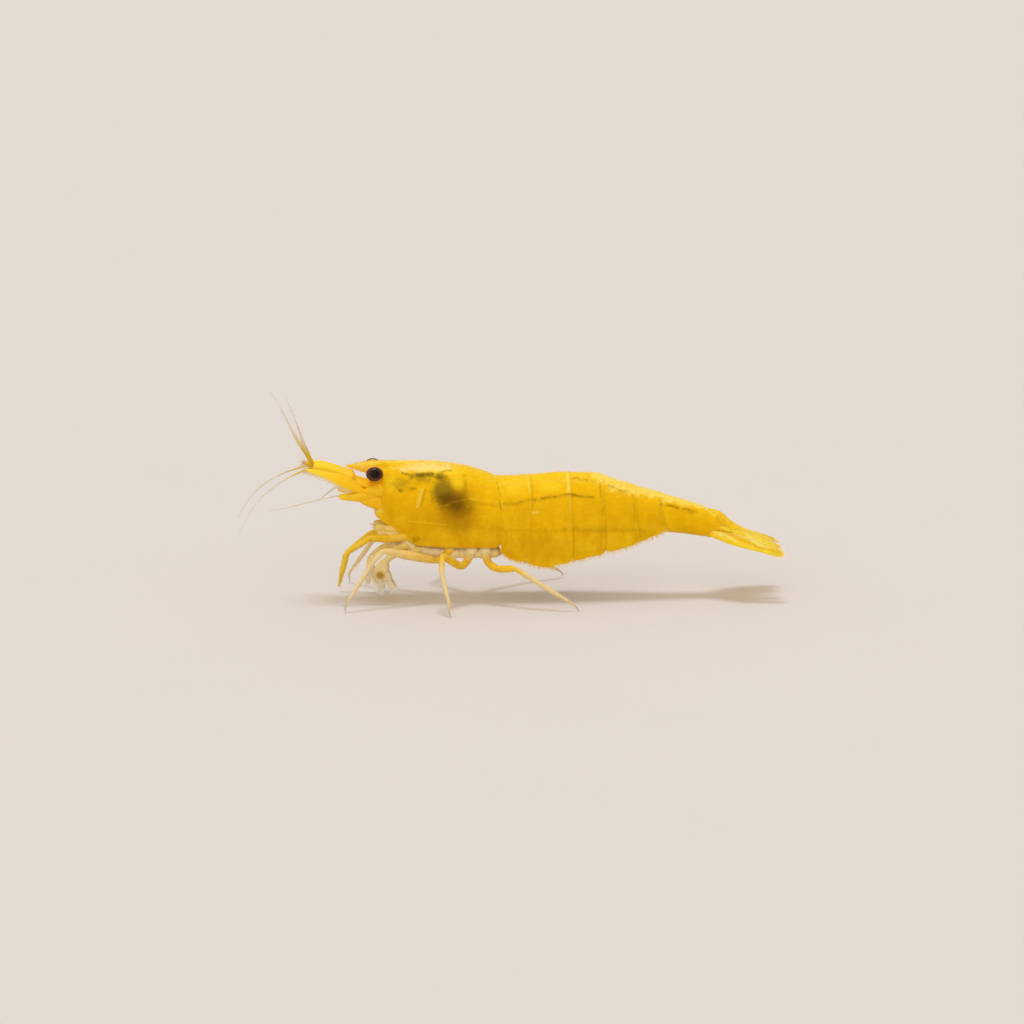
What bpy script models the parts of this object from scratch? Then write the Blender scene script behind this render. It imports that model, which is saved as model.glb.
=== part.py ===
"""Adult dwarf aquarium shrimp, standing on its walking legs, at life size.

Head towards -X, tail towards +X, left side towards -Y, floor at z = 0.
Sizes and places below are in millimetres and become metres in add_piece.
"""
import math

import bmesh
import bpy
from mathutils import Vector

MM = 0.001
GAP = 0.3  # clear space between neighbouring pieces
SLIM = 0.25  # radius of the thinnest feelers and limbs
SIDES = {"left": -1, "right": 1}

# Back of the animal, (x, z): carapace first, then the tergites.
BACK = (
    (-8.8, 7.40), (-8.35, 7.60), (-7.90, 8.72), (-7.0, 8.73), (-5.1, 8.71), (-3.9, 8.57),
    (-2.6, 8.30), (-1.6, 7.97), (-0.9, 7.70), (0.8, 7.74), (3.0, 7.88), (4.9, 7.88),
    (6.8, 7.32), (9.3, 6.53), (11.8, 5.74), (12.6, 5.30),
)
# Lower edge of the body's sides, (x, z), without the lobes of the pleura.
LOWER_EDGE = (
    (-8.8, 6.00), (-8.35, 5.20), (-7.2, 4.50), (-5.9, 3.60), (-4.0, 3.48), (-0.9, 3.44),
    (0.0, 2.65), (2.2, 2.20), (4.5, 2.62), (6.6, 3.20), (8.4, 3.75), (9.3, 4.20),
    (10.5, 4.00), (12.6, 3.68),
)
# Half of the body's width, (x, y).
HALF_WIDTH = (
    (-8.8, 0.50), (-8.35, 0.85), (-7.9, 1.25), (-7.0, 1.55), (-5.5, 1.85), (-3.0, 2.05),
    (-0.9, 1.95), (2.0, 1.95), (4.5, 1.80), (6.5, 1.58), (8.5, 1.32), (9.3, 1.15),
    (11.0, 1.02), (12.6, 0.90),
)
# Roof of the channel under the abdomen, (x, z), which the swimmerets hang from.
CHANNEL_ROOF = ((-0.9, 4.6), (3.0, 4.55), (6.0, 4.8), (9.3, 5.05))
SHELL = 0.62  # thickness of the pleura beside the channel

CARAPACE_ENDS = (-8.8, -0.94)
# Where one abdomen segment gives way to the next.
SEGMENT_ENDS = (-0.94, 1.0, 3.45, 5.5, 7.5, 9.15, 12.65)
LOBE_DEPTH = 0.75  # how far a pleuron's corners are rounded up

EYE = (-8.65, 1.50, 8.18)
EYE_RADII = (0.53, 0.38, 0.455)

# Walking legs, (x, out, z) from hip to knee and from knee to foot. The feet stand on z = 0.
# "right_foot" moves the right foot away from the mirrored place of the left one.
WALKING_LEGS = {
    3: dict(
        upper=((-4.1, 1.05, 3.02), (-4.5, 1.35, 2.70), (-6.2, 2.15, 3.12), (-8.1, 2.90, 3.62)),
        lower=((-8.5, 3.10, 3.30), (-9.0, 3.35, 2.75), (-9.6, 3.80, 2.05), (-10.2, 4.25, 1.10),
               (-10.6, 4.60, 0.0)),
        right_foot=(0.65, 0.65, 0.0),
    ),
    4: dict(
        upper=((-2.6, 1.05, 3.02), (-2.8, 1.60, 2.55), (-3.3, 2.40, 2.45), (-4.5, 3.85, 3.45)),
        lower=((-4.68, 4.25, 3.30), (-4.65, 5.00, 2.42), (-4.45, 5.75, 1.45), (-4.2, 6.45, 0.0)),
        right_foot=(0.1, 0.0, 0.0),
    ),
    5: dict(
        upper=((-1.7, 1.05, 3.02), (-1.65, 1.60, 2.55), (-1.1, 2.40, 2.28), (-0.3, 2.95, 2.45)),
        lower=((0.1, 3.20, 2.30), (0.9, 3.70, 1.95), (2.8, 4.45, 0.98), (3.9, 4.95, 0.0)),
        right_foot=(-0.3, 1.3, 0.0),
    ),
}
LEG_RADII = (0.32, 0.30, 0.28, 0.27)
SHIN_RADII = (0.27, 0.26, 0.25, 0.25)

YELLOW = (0.90, 0.55, 0.02)
DEEP_YELLOW = (0.78, 0.43, 0.01)
PALE_YELLOW = (0.93, 0.74, 0.32)
CLEAR_YELLOW = (0.85, 0.70, 0.40)
EYE_BLACK = (0.012, 0.008, 0.006)


def start_scene():
    """Removes the objects of an earlier scene and gives the parent of all pieces."""
    for piece in list(bpy.data.objects):
        bpy.data.objects.remove(piece)
    animal = bpy.data.objects.new("animal", None)
    bpy.context.collection.objects.link(animal)
    return animal


def make_material(name, colour, roughness):
    material = bpy.data.materials.new(name)
    material.use_nodes = True
    shader = material.node_tree.nodes["Principled BSDF"]
    shader.inputs["Base Color"].default_value = (*colour, 1.0)
    shader.inputs["Roughness"].default_value = roughness
    shader.inputs["Metallic"].default_value = 0.0
    return material


def add_piece(name, bm, base, colour, roughness, animal):
    """Makes the object of a body given in millimetres, with its origin at its base."""
    bmesh.ops.recalc_face_normals(bm, faces=bm.faces)
    base = Vector(base)
    for vert in bm.verts:
        vert.co = (vert.co - base) * MM
    mesh = bpy.data.meshes.new(name)
    bm.to_mesh(mesh)
    bm.free()
    mesh.shade_smooth()
    mesh.set_sharp_from_angle(angle=math.radians(50))
    mesh.materials.append(make_material(name, colour, roughness))
    piece = bpy.data.objects.new(name, mesh)
    piece.location = base * MM
    piece.parent = animal
    bpy.context.collection.objects.link(piece)
    return piece


def blend(points, at):
    """Cubic through the points at a place from 0 to 1 along their count."""
    last = len(points) - 1
    place = min(max(at, 0.0), 1.0) * last
    i = min(int(place), last - 1)
    t = place - i
    before = points[max(i - 1, 0)]
    start, end = points[i], points[i + 1]
    after = points[min(i + 2, last)]
    return 0.5 * (
        2 * start
        + (end - before) * t
        + (2 * before - 5 * start + 4 * end - after) * t ** 2
        + (3 * start - before - 3 * end + after) * t ** 3
    )


def value_at(stations, x):
    """Straight run between the stations (x, value) on both sides of x."""
    if x <= stations[0][0]:
        return stations[0][1]
    for (x0, v0), (x1, v1) in zip(stations, stations[1:]):
        if x <= x1:
            return v0 + (v1 - v0) * (x - x0) / (x1 - x0)
    return stations[-1][1]


def join_rings(rings):
    """Closed body over rings that hold the same number of points."""
    bm = bmesh.new()
    loops = [[bm.verts.new(point) for point in ring] for ring in rings]
    count = len(loops[0])
    for one, two in zip(loops, loops[1:]):
        for i in range(count):
            j = (i + 1) % count
            bm.faces.new((one[i], one[j], two[j], two[i]))
    bm.faces.new(loops[0][::-1])
    bm.faces.new(loops[-1])
    return bm


def sweep(points, halves, across=(0, 1, 0), steps=8, sides=8, foot=False):
    """Limb along the points. halves holds (half width, half thickness) along its run, and
    across is the direction of its width. With foot, it ends in a flat at the last point."""
    points = [Vector(point) for point in points]
    halves = [Vector(pair) for pair in halves]
    across = Vector(across)
    rings = []
    for step in range(steps + 1):
        s = step / steps
        centre = blend(points, s)
        along = (blend(points, s + 0.01) - blend(points, s - 0.01)).normalized()
        if foot and step == steps:
            along = Vector((0, 0, -1))
        side = (across - along * across.dot(along)).normalized()
        normal = along.cross(side)
        wide, thick = blend(halves, s)
        ring = []
        for k in range(sides):
            turn = 2 * math.pi * (k + 0.5) / sides
            ring.append(centre + side * wide * math.cos(turn) + normal * thick * math.sin(turn))
        rings.append(ring)
    return join_rings(rings)


def mirror_out(points, side, foot_shift=(0, 0, 0), reach=(0, 1)):
    """Points (x, out, z) as (x, y, z) on one side. foot_shift grows along the limb,
    over the stretch of it that reach gives, so that hip and knee stay in place."""
    low, high = reach
    placed = []
    for i, (x, out, z) in enumerate(points):
        share = (low + (high - low) * i / (len(points) - 1)) ** 2
        shift = Vector(foot_shift) * share
        placed.append((x + shift.x, side * (out + shift.y), z + shift.z))
    return placed


def body_ring(x, low, half_width, count=24, fullness=0.72):
    """Upright section of the body at x: an oval, fuller than an ellipse."""
    top = value_at(BACK, x)
    middle = low + 0.45 * (top - low)
    ring = []
    for i in range(count):
        turn = 2 * math.pi * i / count
        sine, cosine = math.sin(turn), math.cos(turn)
        height = (top - middle) if cosine > 0 else (middle - low)
        rise = math.copysign(abs(cosine) ** 0.85, cosine)
        ring.append((x, half_width * math.copysign(abs(sine) ** fullness, sine),
                     middle + height * rise))
    return ring


def make_carapace(animal):
    front, back = CARAPACE_ENDS
    back -= GAP / 2
    places = [station[0] for station in HALF_WIDTH if front <= station[0] < back]
    places += [-6.3, -4.6, -2.0, back]
    rings = [
        body_ring(x, value_at(LOWER_EDGE, x), value_at(HALF_WIDTH, x)) for x in sorted(places)
    ]
    add_piece("carapace", join_rings(rings), (-5.0, 0, 6.0), YELLOW, 0.35, animal)


def arch_ring(x, low):
    """Section of an abdomen segment at x: back and pleura over the swimmerets' channel."""
    top = value_at(BACK, x)
    wide = value_at(HALF_WIDTH, x)
    roof = max(value_at(CHANNEL_ROOF, x), low + 0.2)
    outer, inner = [], []
    for i in range(15):
        turn = math.pi * (i / 14 - 0.5)
        lean = 1.05 - 0.13 * abs(math.sin(turn)) ** 6
        outer.append((x, wide * lean * math.copysign(abs(math.sin(turn)) ** 0.8, turn),
                      low + (top - low) * math.cos(turn) ** 0.85))
    for i in range(9):
        turn = math.pi * (0.5 - i / 8)
        room = wide * 0.90 - SHELL
        inner.append((x, room * math.copysign(abs(math.sin(turn)) ** 0.6, turn),
                      low + (roof - low) * math.cos(turn) ** 0.5))
    return outer + inner


def make_abdomen(animal):
    """Five segments with pleura, rounded below, and the plain round sixth."""
    for i in range(5):
        start = SEGMENT_ENDS[i] + GAP / 2
        end = SEGMENT_ENDS[i + 1] - GAP / 2
        rings = []
        for place in (0, 0.08, 0.25, 0.5, 0.75, 0.92, 1):
            x = start + (end - start) * place
            lift = LOBE_DEPTH * abs(2 * place - 1) ** 4
            rings.append(arch_ring(x, value_at(LOWER_EDGE, x) + lift))
        base = ((start + end) / 2, 0, 6.0)
        add_piece(f"abdomen_{i + 1}", join_rings(rings), base, YELLOW, 0.35, animal)
    start, end = SEGMENT_ENDS[5] + GAP / 2, SEGMENT_ENDS[6]
    rings = []
    for place in (0, 0.2, 0.5, 0.8, 1):
        x = start + (end - start) * place
        rings.append(body_ring(x, value_at(LOWER_EDGE, x), value_at(HALF_WIDTH, x), 20, 0.85))
    add_piece("abdomen_6", join_rings(rings), (start, 0, 5.4), YELLOW, 0.35, animal)


def make_rostrum(animal):
    """Thin blade over the eyes, drawn out to a point."""
    line = ((-8.2, 0, 8.52), (-9.0, 0, 8.52), (-9.8, 0, 8.48), (-10.4, 0, 8.44))
    halves = ((0.26, 0.25), (0.26, 0.22), (0.25, 0.16), (0.10, 0.08))
    bm = sweep(line, halves, steps=6)
    add_piece("rostrum", bm, line[0], YELLOW, 0.35, animal)


def make_eyes(animal):
    for name, side in SIDES.items():
        x, out, z = EYE
        centre = (x, side * out, z)
        bm = bmesh.new()
        bmesh.ops.create_uvsphere(bm, u_segments=14, v_segments=8, radius=1.0)
        for vert in bm.verts:
            vert.co = Vector([c + r * v for c, r, v in zip(centre, EYE_RADII, vert.co)])
        add_piece(f"eye_{name}", bm, centre, EYE_BLACK, 0.12, animal)
        line = mirror_out(((-8.86, 0.22, 7.92), (-8.80, 0.50, 7.96), (-8.74, 0.84, 8.06)), side)
        halves = ((0.25, 0.25), (0.25, 0.25), (0.30, 0.30))
        bm = sweep(line, halves, across=(1, 0, 0), steps=3, sides=10)
        add_piece(f"eyestalk_{name}", bm, line[0], CLEAR_YELLOW, 0.4, animal)


def make_antennules(animal):
    """First antennae: a stout stalk each, with an outer feeler raised and an inner one lowered."""
    stalk = ((-9.4, 0.45, 7.32), (-10.1, 0.45, 7.78), (-11.3, 0.45, 8.28), (-12.1, 0.45, 8.48),
             (-12.6, 0.45, 8.46))
    outer = {
        "left": ((-12.70, 0.58, 9.15), (-13.05, 0.95, 10.10), (-13.40, 1.40, 11.20),
                 (-13.80, 1.90, 12.30), (-14.15, 2.15, 13.20)),
        "right": ((-12.78, 0.58, 9.15), (-13.45, 0.95, 10.10), (-14.05, 1.40, 11.20),
                  (-14.60, 1.90, 12.20), (-15.15, 2.15, 12.95)),
    }
    inner = ((-13.02, 0.62, 8.34), (-14.30, 1.15, 7.78), (-15.55, 1.70, 6.95),
             (-16.45, 2.10, 5.90), (-17.10, 2.30, 4.70))
    for name, side in SIDES.items():
        line = mirror_out(stalk, side)
        bm = sweep(line, ((0.28, 0.28), (0.29, 0.29), (0.28, 0.28)), steps=6)
        add_piece(f"antennule_{name}", bm, line[0], YELLOW, 0.35, animal)
        for part, points in (("outer", outer[name]), ("inner", inner)):
            line = mirror_out(points, side)
            bm = sweep(line, ((SLIM, SLIM), (SLIM, SLIM)), steps=8, sides=6)
            piece = f"antennule_{part}_flagellum_{name}"
            add_piece(piece, bm, line[0], PALE_YELLOW, 0.45, animal)


def make_antennae(animal):
    """Second antennae: base, leaf-shaped scale over it and one long feeler."""
    base = ((-9.2, 1.10, 6.46), (-10.0, 1.22, 6.62), (-10.72, 1.32, 6.74))
    feeler = {
        "left": ((-11.08, 1.45, 6.80), (-12.2, 1.90, 6.66), (-13.4, 2.32, 6.44),
                 (-14.4, 2.70, 6.30), (-15.4, 3.00, 6.20)),
        "right": ((-11.08, 1.45, 6.78), (-12.0, 1.90, 6.00), (-13.2, 2.32, 5.56),
                  (-14.15, 2.70, 5.26), (-15.1, 3.00, 5.03)),
    }
    scale = ((-10.2, 1.22, 7.55), (-11.1, 1.28, 7.93), (-12.1, 1.30, 8.24), (-13.0, 1.25, 8.46))
    leaf = ((0.22, SLIM), (0.36, SLIM), (0.32, SLIM), (0.12, 0.2))
    for name, side in SIDES.items():
        line = mirror_out(base, side)
        bm = sweep(line, ((0.24, 0.24), (SLIM, SLIM)), steps=3)
        add_piece(f"antenna_base_{name}", bm, line[0], YELLOW, 0.4, animal)
        line = mirror_out(feeler[name], side)
        bm = sweep(line, ((SLIM, SLIM), (SLIM, SLIM)), steps=6, sides=6)
        add_piece(f"antenna_flagellum_{name}", bm, line[0], PALE_YELLOW, 0.45, animal)
        line = mirror_out(scale, side)
        bm = sweep(line, leaf, across=(0, side * 0.45, -0.9), steps=7)
        add_piece(f"antennal_scale_{name}", bm, line[0], YELLOW, 0.4, animal)


def make_mouthparts(animal):
    """The jaws and their feelers as one low block behind the antennae."""
    line = ((-8.95, 0, 4.72), (-8.3, 0, 4.45), (-7.6, 0, 4.0), (-7.1, 0, 3.75))
    bm = sweep(line, ((0.25, 0.15), (0.62, 0.32), (0.62, 0.32), (0.4, 0.2)), steps=6, sides=12)
    add_piece("mouthparts", bm, line[0], CLEAR_YELLOW, 0.4, animal)


def make_front_limbs(animal):
    """Third maxillipeds and the two pairs of small claw legs, all held clear of the floor.
    The right ones reach lower than the left ones."""
    lines = {
        "maxilliped_left": ((-7.9, 1.20, 4.08), (-9.0, 1.80, 4.16), (-10.35, 2.10, 3.42),
                            (-10.75, 2.25, 2.85), (-10.92, 2.35, 1.25)),
        "maxilliped_right": ((-7.9, 1.20, 4.08), (-8.9, 1.80, 3.74), (-10.13, 2.10, 2.64),
                             (-10.5, 2.25, 2.02), (-10.68, 2.35, 0.52)),
        "cheliped_1_left": ((-6.9, 0.95, 3.30), (-8.2, 1.55, 3.30), (-8.98, 1.88, 2.85),
                            (-8.98, 1.95, 2.15), (-8.85, 2.00, 1.45)),
        "cheliped_1_right": ((-6.9, 0.95, 3.30), (-8.1, 1.55, 2.98), (-8.80, 1.88, 2.22),
                             (-8.80, 1.95, 1.50), (-8.70, 2.00, 0.80)),
        "cheliped_2_left": ((-5.9, 0.95, 3.04), (-7.2, 1.55, 3.04), (-8.00, 2.00, 2.66),
                            (-8.02, 2.15, 1.90), (-7.70, 2.20, 1.00)),
        "cheliped_2_right": ((-5.9, 0.95, 3.04), (-7.1, 1.55, 2.74), (-7.80, 2.00, 2.02),
                             (-7.82, 2.15, 1.28), (-7.60, 2.20, 0.55)),
    }
    leg = ((0.27, 0.27), (0.27, 0.27), (0.26, 0.26), (0.25, 0.25))
    hand = ((0.25, 0.25), (0.25, 0.25), (0.26, 0.26), (0.26, 0.36), (0.26, 0.34))
    limbs = {
        "maxilliped": (leg, DEEP_YELLOW),
        "cheliped_1": (hand, CLEAR_YELLOW),
        "cheliped_2": (hand, CLEAR_YELLOW),
    }
    for limb, (halves, colour) in limbs.items():
        for name, side in SIDES.items():
            line = mirror_out(lines[f"{limb}_{name}"], side)
            bm = sweep(line, halves, steps=10)
            add_piece(f"{limb}_{name}", bm, line[0], colour, 0.4, animal)


def make_walking_legs(animal):
    """Each leg in two lengths, from hip to knee and from knee to a foot flat on the floor."""
    for number, leg in WALKING_LEGS.items():
        for name, side in SIDES.items():
            shift = leg["right_foot"] if name == "right" else (0, 0, 0)
            line = mirror_out(leg["upper"], side, shift, (0, 0.35))
            bm = sweep(line, [(r, r) for r in LEG_RADII], across=(1, 0, 0), steps=6)
            add_piece(f"leg_{number}_upper_{name}", bm, line[0], DEEP_YELLOW, 0.4, animal)
            line = mirror_out(leg["lower"], side, shift, (0.35, 1))
            bm = sweep(line, [(r, r) for r in SHIN_RADII], across=(1, 0, 0), steps=6, foot=True)
            add_piece(f"leg_{number}_lower_{name}", bm, line[0], PALE_YELLOW, 0.4, animal)


def make_swimmerets(animal):
    """A pair of paddles under each of the first five segments, between the pleura."""
    for i in range(5):
        start = (SEGMENT_ENDS[i] + SEGMENT_ENDS[i + 1]) / 2 - 0.45
        roof = value_at(CHANNEL_ROOF, start) - GAP - 0.1
        low = value_at(LOWER_EDGE, start + 0.9) + 0.35
        out = value_at(HALF_WIDTH, start) * 0.29
        for name, side in SIDES.items():
            top = Vector((start, side * out, roof))
            tip = Vector((start + 0.35 * (roof - low) + 0.3, side * out, low))
            line = (top, top.lerp(tip, 0.4) - Vector((0.05, 0, 0)), tip)
            bm = sweep(line, ((0.22, 0.22), (0.32, 0.26), (0.2, 0.2)), steps=4)
            add_piece(f"swimmeret_{i + 1}_{name}", bm, line[0], CLEAR_YELLOW, 0.4, animal)


def make_tail_fan(animal):
    """Telson in the middle, with an inner and an outer blade on each side of it."""
    telson = ((12.95, 0, 4.98), (13.9, 0, 4.36), (15.1, 0, 3.80), (16.40, 0, 3.38))
    bm = sweep(telson, ((0.46, 0.30), (0.50, 0.27), (0.42, SLIM), (0.20, 0.2)), steps=6)
    add_piece("telson", bm, telson[0], YELLOW, 0.35, animal)
    blades = {
        "uropod_inner": ((12.95, 0.58, 4.18), (14.2, 1.10, 3.80), (15.5, 1.25, 3.45),
                         (16.9, 1.25, 3.05)),
        "uropod_outer": ((12.98, 1.16, 4.02), (14.2, 2.02, 3.72), (15.6, 2.40, 3.36),
                         (17.1, 2.45, 2.84)),
    }
    leaf = ((0.22, SLIM), (0.38, SLIM), (0.50, SLIM), (0.48, SLIM), (0.16, 0.18))
    for blade, points in blades.items():
        for name, side in SIDES.items():
            line = mirror_out(points, side)
            bm = sweep(line, leaf, across=(0, side, -0.5), steps=7)
            add_piece(f"{blade}_{name}", bm, line[0], YELLOW, 0.35, animal)


def stand_on_origin(animal):
    """Moves the animal so that the origin is at the bottom centre of its bounding box."""
    bpy.context.view_layer.update()
    corners = [
        piece.matrix_world @ vert.co
        for piece in animal.children
        for vert in piece.data.vertices
    ]
    low = [min(corner[axis] for corner in corners) for axis in range(3)]
    high = [max(corner[axis] for corner in corners) for axis in range(3)]
    animal.location.x -= (low[0] + high[0]) / 2
    animal.location.y -= (low[1] + high[1]) / 2
    animal.location.z -= low[2]


def main():
    animal = start_scene()
    make_carapace(animal)
    make_rostrum(animal)
    make_eyes(animal)
    make_antennules(animal)
    make_antennae(animal)
    make_mouthparts(animal)
    make_front_limbs(animal)
    make_walking_legs(animal)
    make_abdomen(animal)
    make_swimmerets(animal)
    make_tail_fan(animal)
    stand_on_origin(animal)


main()
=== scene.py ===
import math
import random

import bmesh
import bpy
import numpy as np
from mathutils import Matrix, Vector, kdtree, noise


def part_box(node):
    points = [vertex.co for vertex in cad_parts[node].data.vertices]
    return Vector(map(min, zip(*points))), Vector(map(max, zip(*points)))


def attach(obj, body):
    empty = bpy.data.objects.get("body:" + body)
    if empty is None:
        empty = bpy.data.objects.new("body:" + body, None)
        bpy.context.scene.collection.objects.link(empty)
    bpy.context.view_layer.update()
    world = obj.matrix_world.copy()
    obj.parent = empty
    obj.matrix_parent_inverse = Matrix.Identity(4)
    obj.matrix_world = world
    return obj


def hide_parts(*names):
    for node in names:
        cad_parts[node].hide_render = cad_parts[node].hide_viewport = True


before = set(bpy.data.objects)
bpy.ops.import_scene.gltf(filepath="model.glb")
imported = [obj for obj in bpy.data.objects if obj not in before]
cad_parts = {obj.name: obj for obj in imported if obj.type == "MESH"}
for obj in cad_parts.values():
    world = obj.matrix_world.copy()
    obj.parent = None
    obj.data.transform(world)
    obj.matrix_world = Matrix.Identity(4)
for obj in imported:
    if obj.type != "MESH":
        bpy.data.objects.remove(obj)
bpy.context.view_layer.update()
print("frame loaded:", len(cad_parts), "solids")

# Everything below is in millimetres, head towards -X, left side towards -Y, floor at z = 0.
# makePiece turns it into metres and moves it to where the frame has the left eye.
mm = 0.001
patchSize = 0.003  # size of one seta's patch on the map that colours it
sides = {"left": -1, "right": 1}
eyePlace = {"centre": (-8.65, 1.50, 8.18), "radii": (0.53, 0.38, 0.455)}
eyeLow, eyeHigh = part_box("eye_left")
shift = np.array([(eyeLow.x + eyeHigh.x) / 2 / mm - eyePlace["centre"][0], 0.0, 0.0])


# small tools for curves and shapes
def smoothCurve(stations):
    # a smooth curve through (place, value) stations that never overshoots them
    places, values = np.array(stations, float).T
    gaps = np.diff(places)
    rises = np.diff(values) / gaps
    slopes = np.zeros(len(places))
    slopes[0], slopes[-1] = rises[0], rises[-1]
    for i in range(1, len(places) - 1):
        if rises[i - 1] * rises[i] > 0:
            slopes[i] = 2 * rises[i - 1] * rises[i] / (rises[i - 1] + rises[i])

    def valueAt(at):
        at = np.clip(np.asarray(at, float), places[0], places[-1])
        i = np.clip(np.searchsorted(places, at) - 1, 0, len(gaps) - 1)
        t = (at - places[i]) / gaps[i]
        return ((1 + 2 * t) * (1 - t) ** 2 * values[i] + t * t * (3 - 2 * t) * values[i + 1]
                + gaps[i] * (t * (1 - t) ** 2 * slopes[i] - t * t * (1 - t) * slopes[i + 1]))
    return valueAt


def smoothStep(low, high, at):
    t = np.clip((np.asarray(at, float) - low) / (high - low), 0, 1)
    return t * t * (3 - 2 * t)


def bump(at, centre, width):
    return np.exp(-((np.asarray(at, float) - centre) / width) ** 2)


def blendAlong(points, count):
    # count points on a smooth curve through the given ones
    points = [Vector(point) for point in points]
    last = len(points) - 1
    made = []
    for step in range(count):
        place = step / (count - 1) * last
        i = min(int(place), last - 1)
        t = place - i
        before, start = points[max(i - 1, 0)], points[i]
        end, after = points[i + 1], points[min(i + 2, last)]
        made.append(0.5 * (2 * start + (end - before) * t
                           + (2 * before - 5 * start + 4 * end - after) * t ** 2
                           + (3 * start - before - 3 * end + after) * t ** 3))
    return made


def outTo(points, side):
    # (x, out, z) places as (x, y, z) on one side of the animal
    return [Vector((x, side * out, z)) for x, out, z in points]


def newShape():
    return {"points": [], "faces": [], "along": [], "around": [], "rim": [], "patch": []}


def addPoint(shape, point, along=0.0, around=0.0, rim=1.0, patch=(0.0, 0.0)):
    shape["points"].append(tuple(point))
    shape["along"].append(float(along))
    shape["around"].append(float(around))
    shape["rim"].append(float(rim))
    shape["patch"].append(patch)
    return len(shape["points"]) - 1


def addLoops(shape, loops, closed=True):
    # faces between neighbouring loops of point numbers
    for one, two in zip(loops, loops[1:]):
        count = len(one)
        for i in range(count if closed else count - 1):
            j = (i + 1) % count
            shape["faces"].append((one[i], one[j], two[j], two[i]))


def closeEnds(shape, loops):
    shape["faces"].append(tuple(reversed(loops[0])))
    shape["faces"].append(tuple(loops[-1]))


def addTube(shape, path, radii, ringSides=10, reach=(0.0, 1.0), flat=1.0, across=None, patch=None,
            places=None):
    # closed tube along a dense path; flat thins it at right angles to across
    path = [Vector(point) for point in path]
    across = Vector(across or (0.13, 0.97, 0.2))
    loops = []
    last = len(path) - 1
    side = across.copy()
    for i, centre in enumerate(path):
        ahead = path[min(i + 1, last)] - path[max(i - 1, 0)]
        ahead.normalize()
        base = side if flat == 1.0 else across
        side = (base - ahead * base.dot(ahead)).normalized()
        up = ahead.cross(side)
        along = places[i] if places else reach[0] + (reach[1] - reach[0]) * i / last
        loop = []
        for k in range(ringSides):
            turn = 2 * math.pi * k / ringSides
            spot = centre + side * radii[i] * math.cos(turn) + up * radii[i] * flat * math.sin(turn)
            place = (0.0, 0.0)
            if patch:
                place = (patch[0] + patchSize * i / last, patch[1] + patchSize * k / ringSides)
            loop.append(addPoint(shape, spot, along, k / ringSides, 1.0, place))
        loops.append(loop)
    addLoops(shape, loops)
    closeEnds(shape, loops)


def addSeta(shape, root, direction, length, radius=0.011, droop=(0, 0, 0), patch=(0.5, 0.5)):
    # one four-sided bristle that thins to its tip; patch is its root's place on the colour map
    direction = Vector(direction).normalized()
    taper = (1.0, 0.9, 0.7, 0.45, 0.15)
    path = []
    for i in range(len(taper)):
        s = i / (len(taper) - 1)
        path.append(Vector(root) + direction * length * s + Vector(droop) * length * s * s)
    addTube(shape, path, [radius * share for share in taper], 4, patch=patch)


def joinRuns(digits, *runs):
    # steady runs of places, each (first, last, count), as one rising list
    return np.unique(np.round(np.concatenate([np.linspace(*run) for run in runs]), digits))


def bothSides(half):
    # places from -1 over 0 on the back to 1
    return np.concatenate([-half[::-1], half[1:]])


def gridNormals(points):
    # outward normals of a grid of points, rows by columns
    down = np.gradient(points, axis=0)
    along = np.gradient(points, axis=1)
    normals = np.cross(along, down)
    lengths = np.linalg.norm(normals, axis=2, keepdims=True)
    return normals / np.maximum(lengths, 1e-9)


def addGrid(shape, points, along, around, rim):
    rows, columns = points.shape[:2]
    loops = []
    for r in range(rows):
        loops.append([addPoint(shape, points[r, c], along[r, c], around[r, c], rim[r, c])
                      for c in range(columns)])
    addLoops(shape, loops, closed=False)
    return loops


def joinEdges(shape, one, two):
    for i in range(len(one) - 1):
        shape["faces"].append((one[i], one[i + 1], two[i + 1], two[i]))


def addShell(shape, outer, inner, along, around, rim, skipFront=()):
    # plate with an outer and an inner face and a rounded rim; front rows can stay open
    top = addGrid(shape, outer, along, around, rim)
    low = addGrid(shape, inner, along, around, rim)
    rows = len(top)
    front = [r for r in range(rows - 1) if r not in skipFront]
    for r in front:
        shape["faces"].append((top[r][0], top[r + 1][0], low[r + 1][0], low[r][0]))
    joinEdges(shape, [row[-1] for row in top], [row[-1] for row in low])
    joinEdges(shape, top[0], low[0])
    joinEdges(shape, top[-1], low[-1])


def grain(points, scale, depth):
    # fine unevenness of a grid, as a distance along the normals
    flatPoints = points.reshape(-1, 3)
    found = [noise.noise(Vector(point) / scale) for point in flatPoints]
    return depth * np.array(found).reshape(points.shape[:2])


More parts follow.
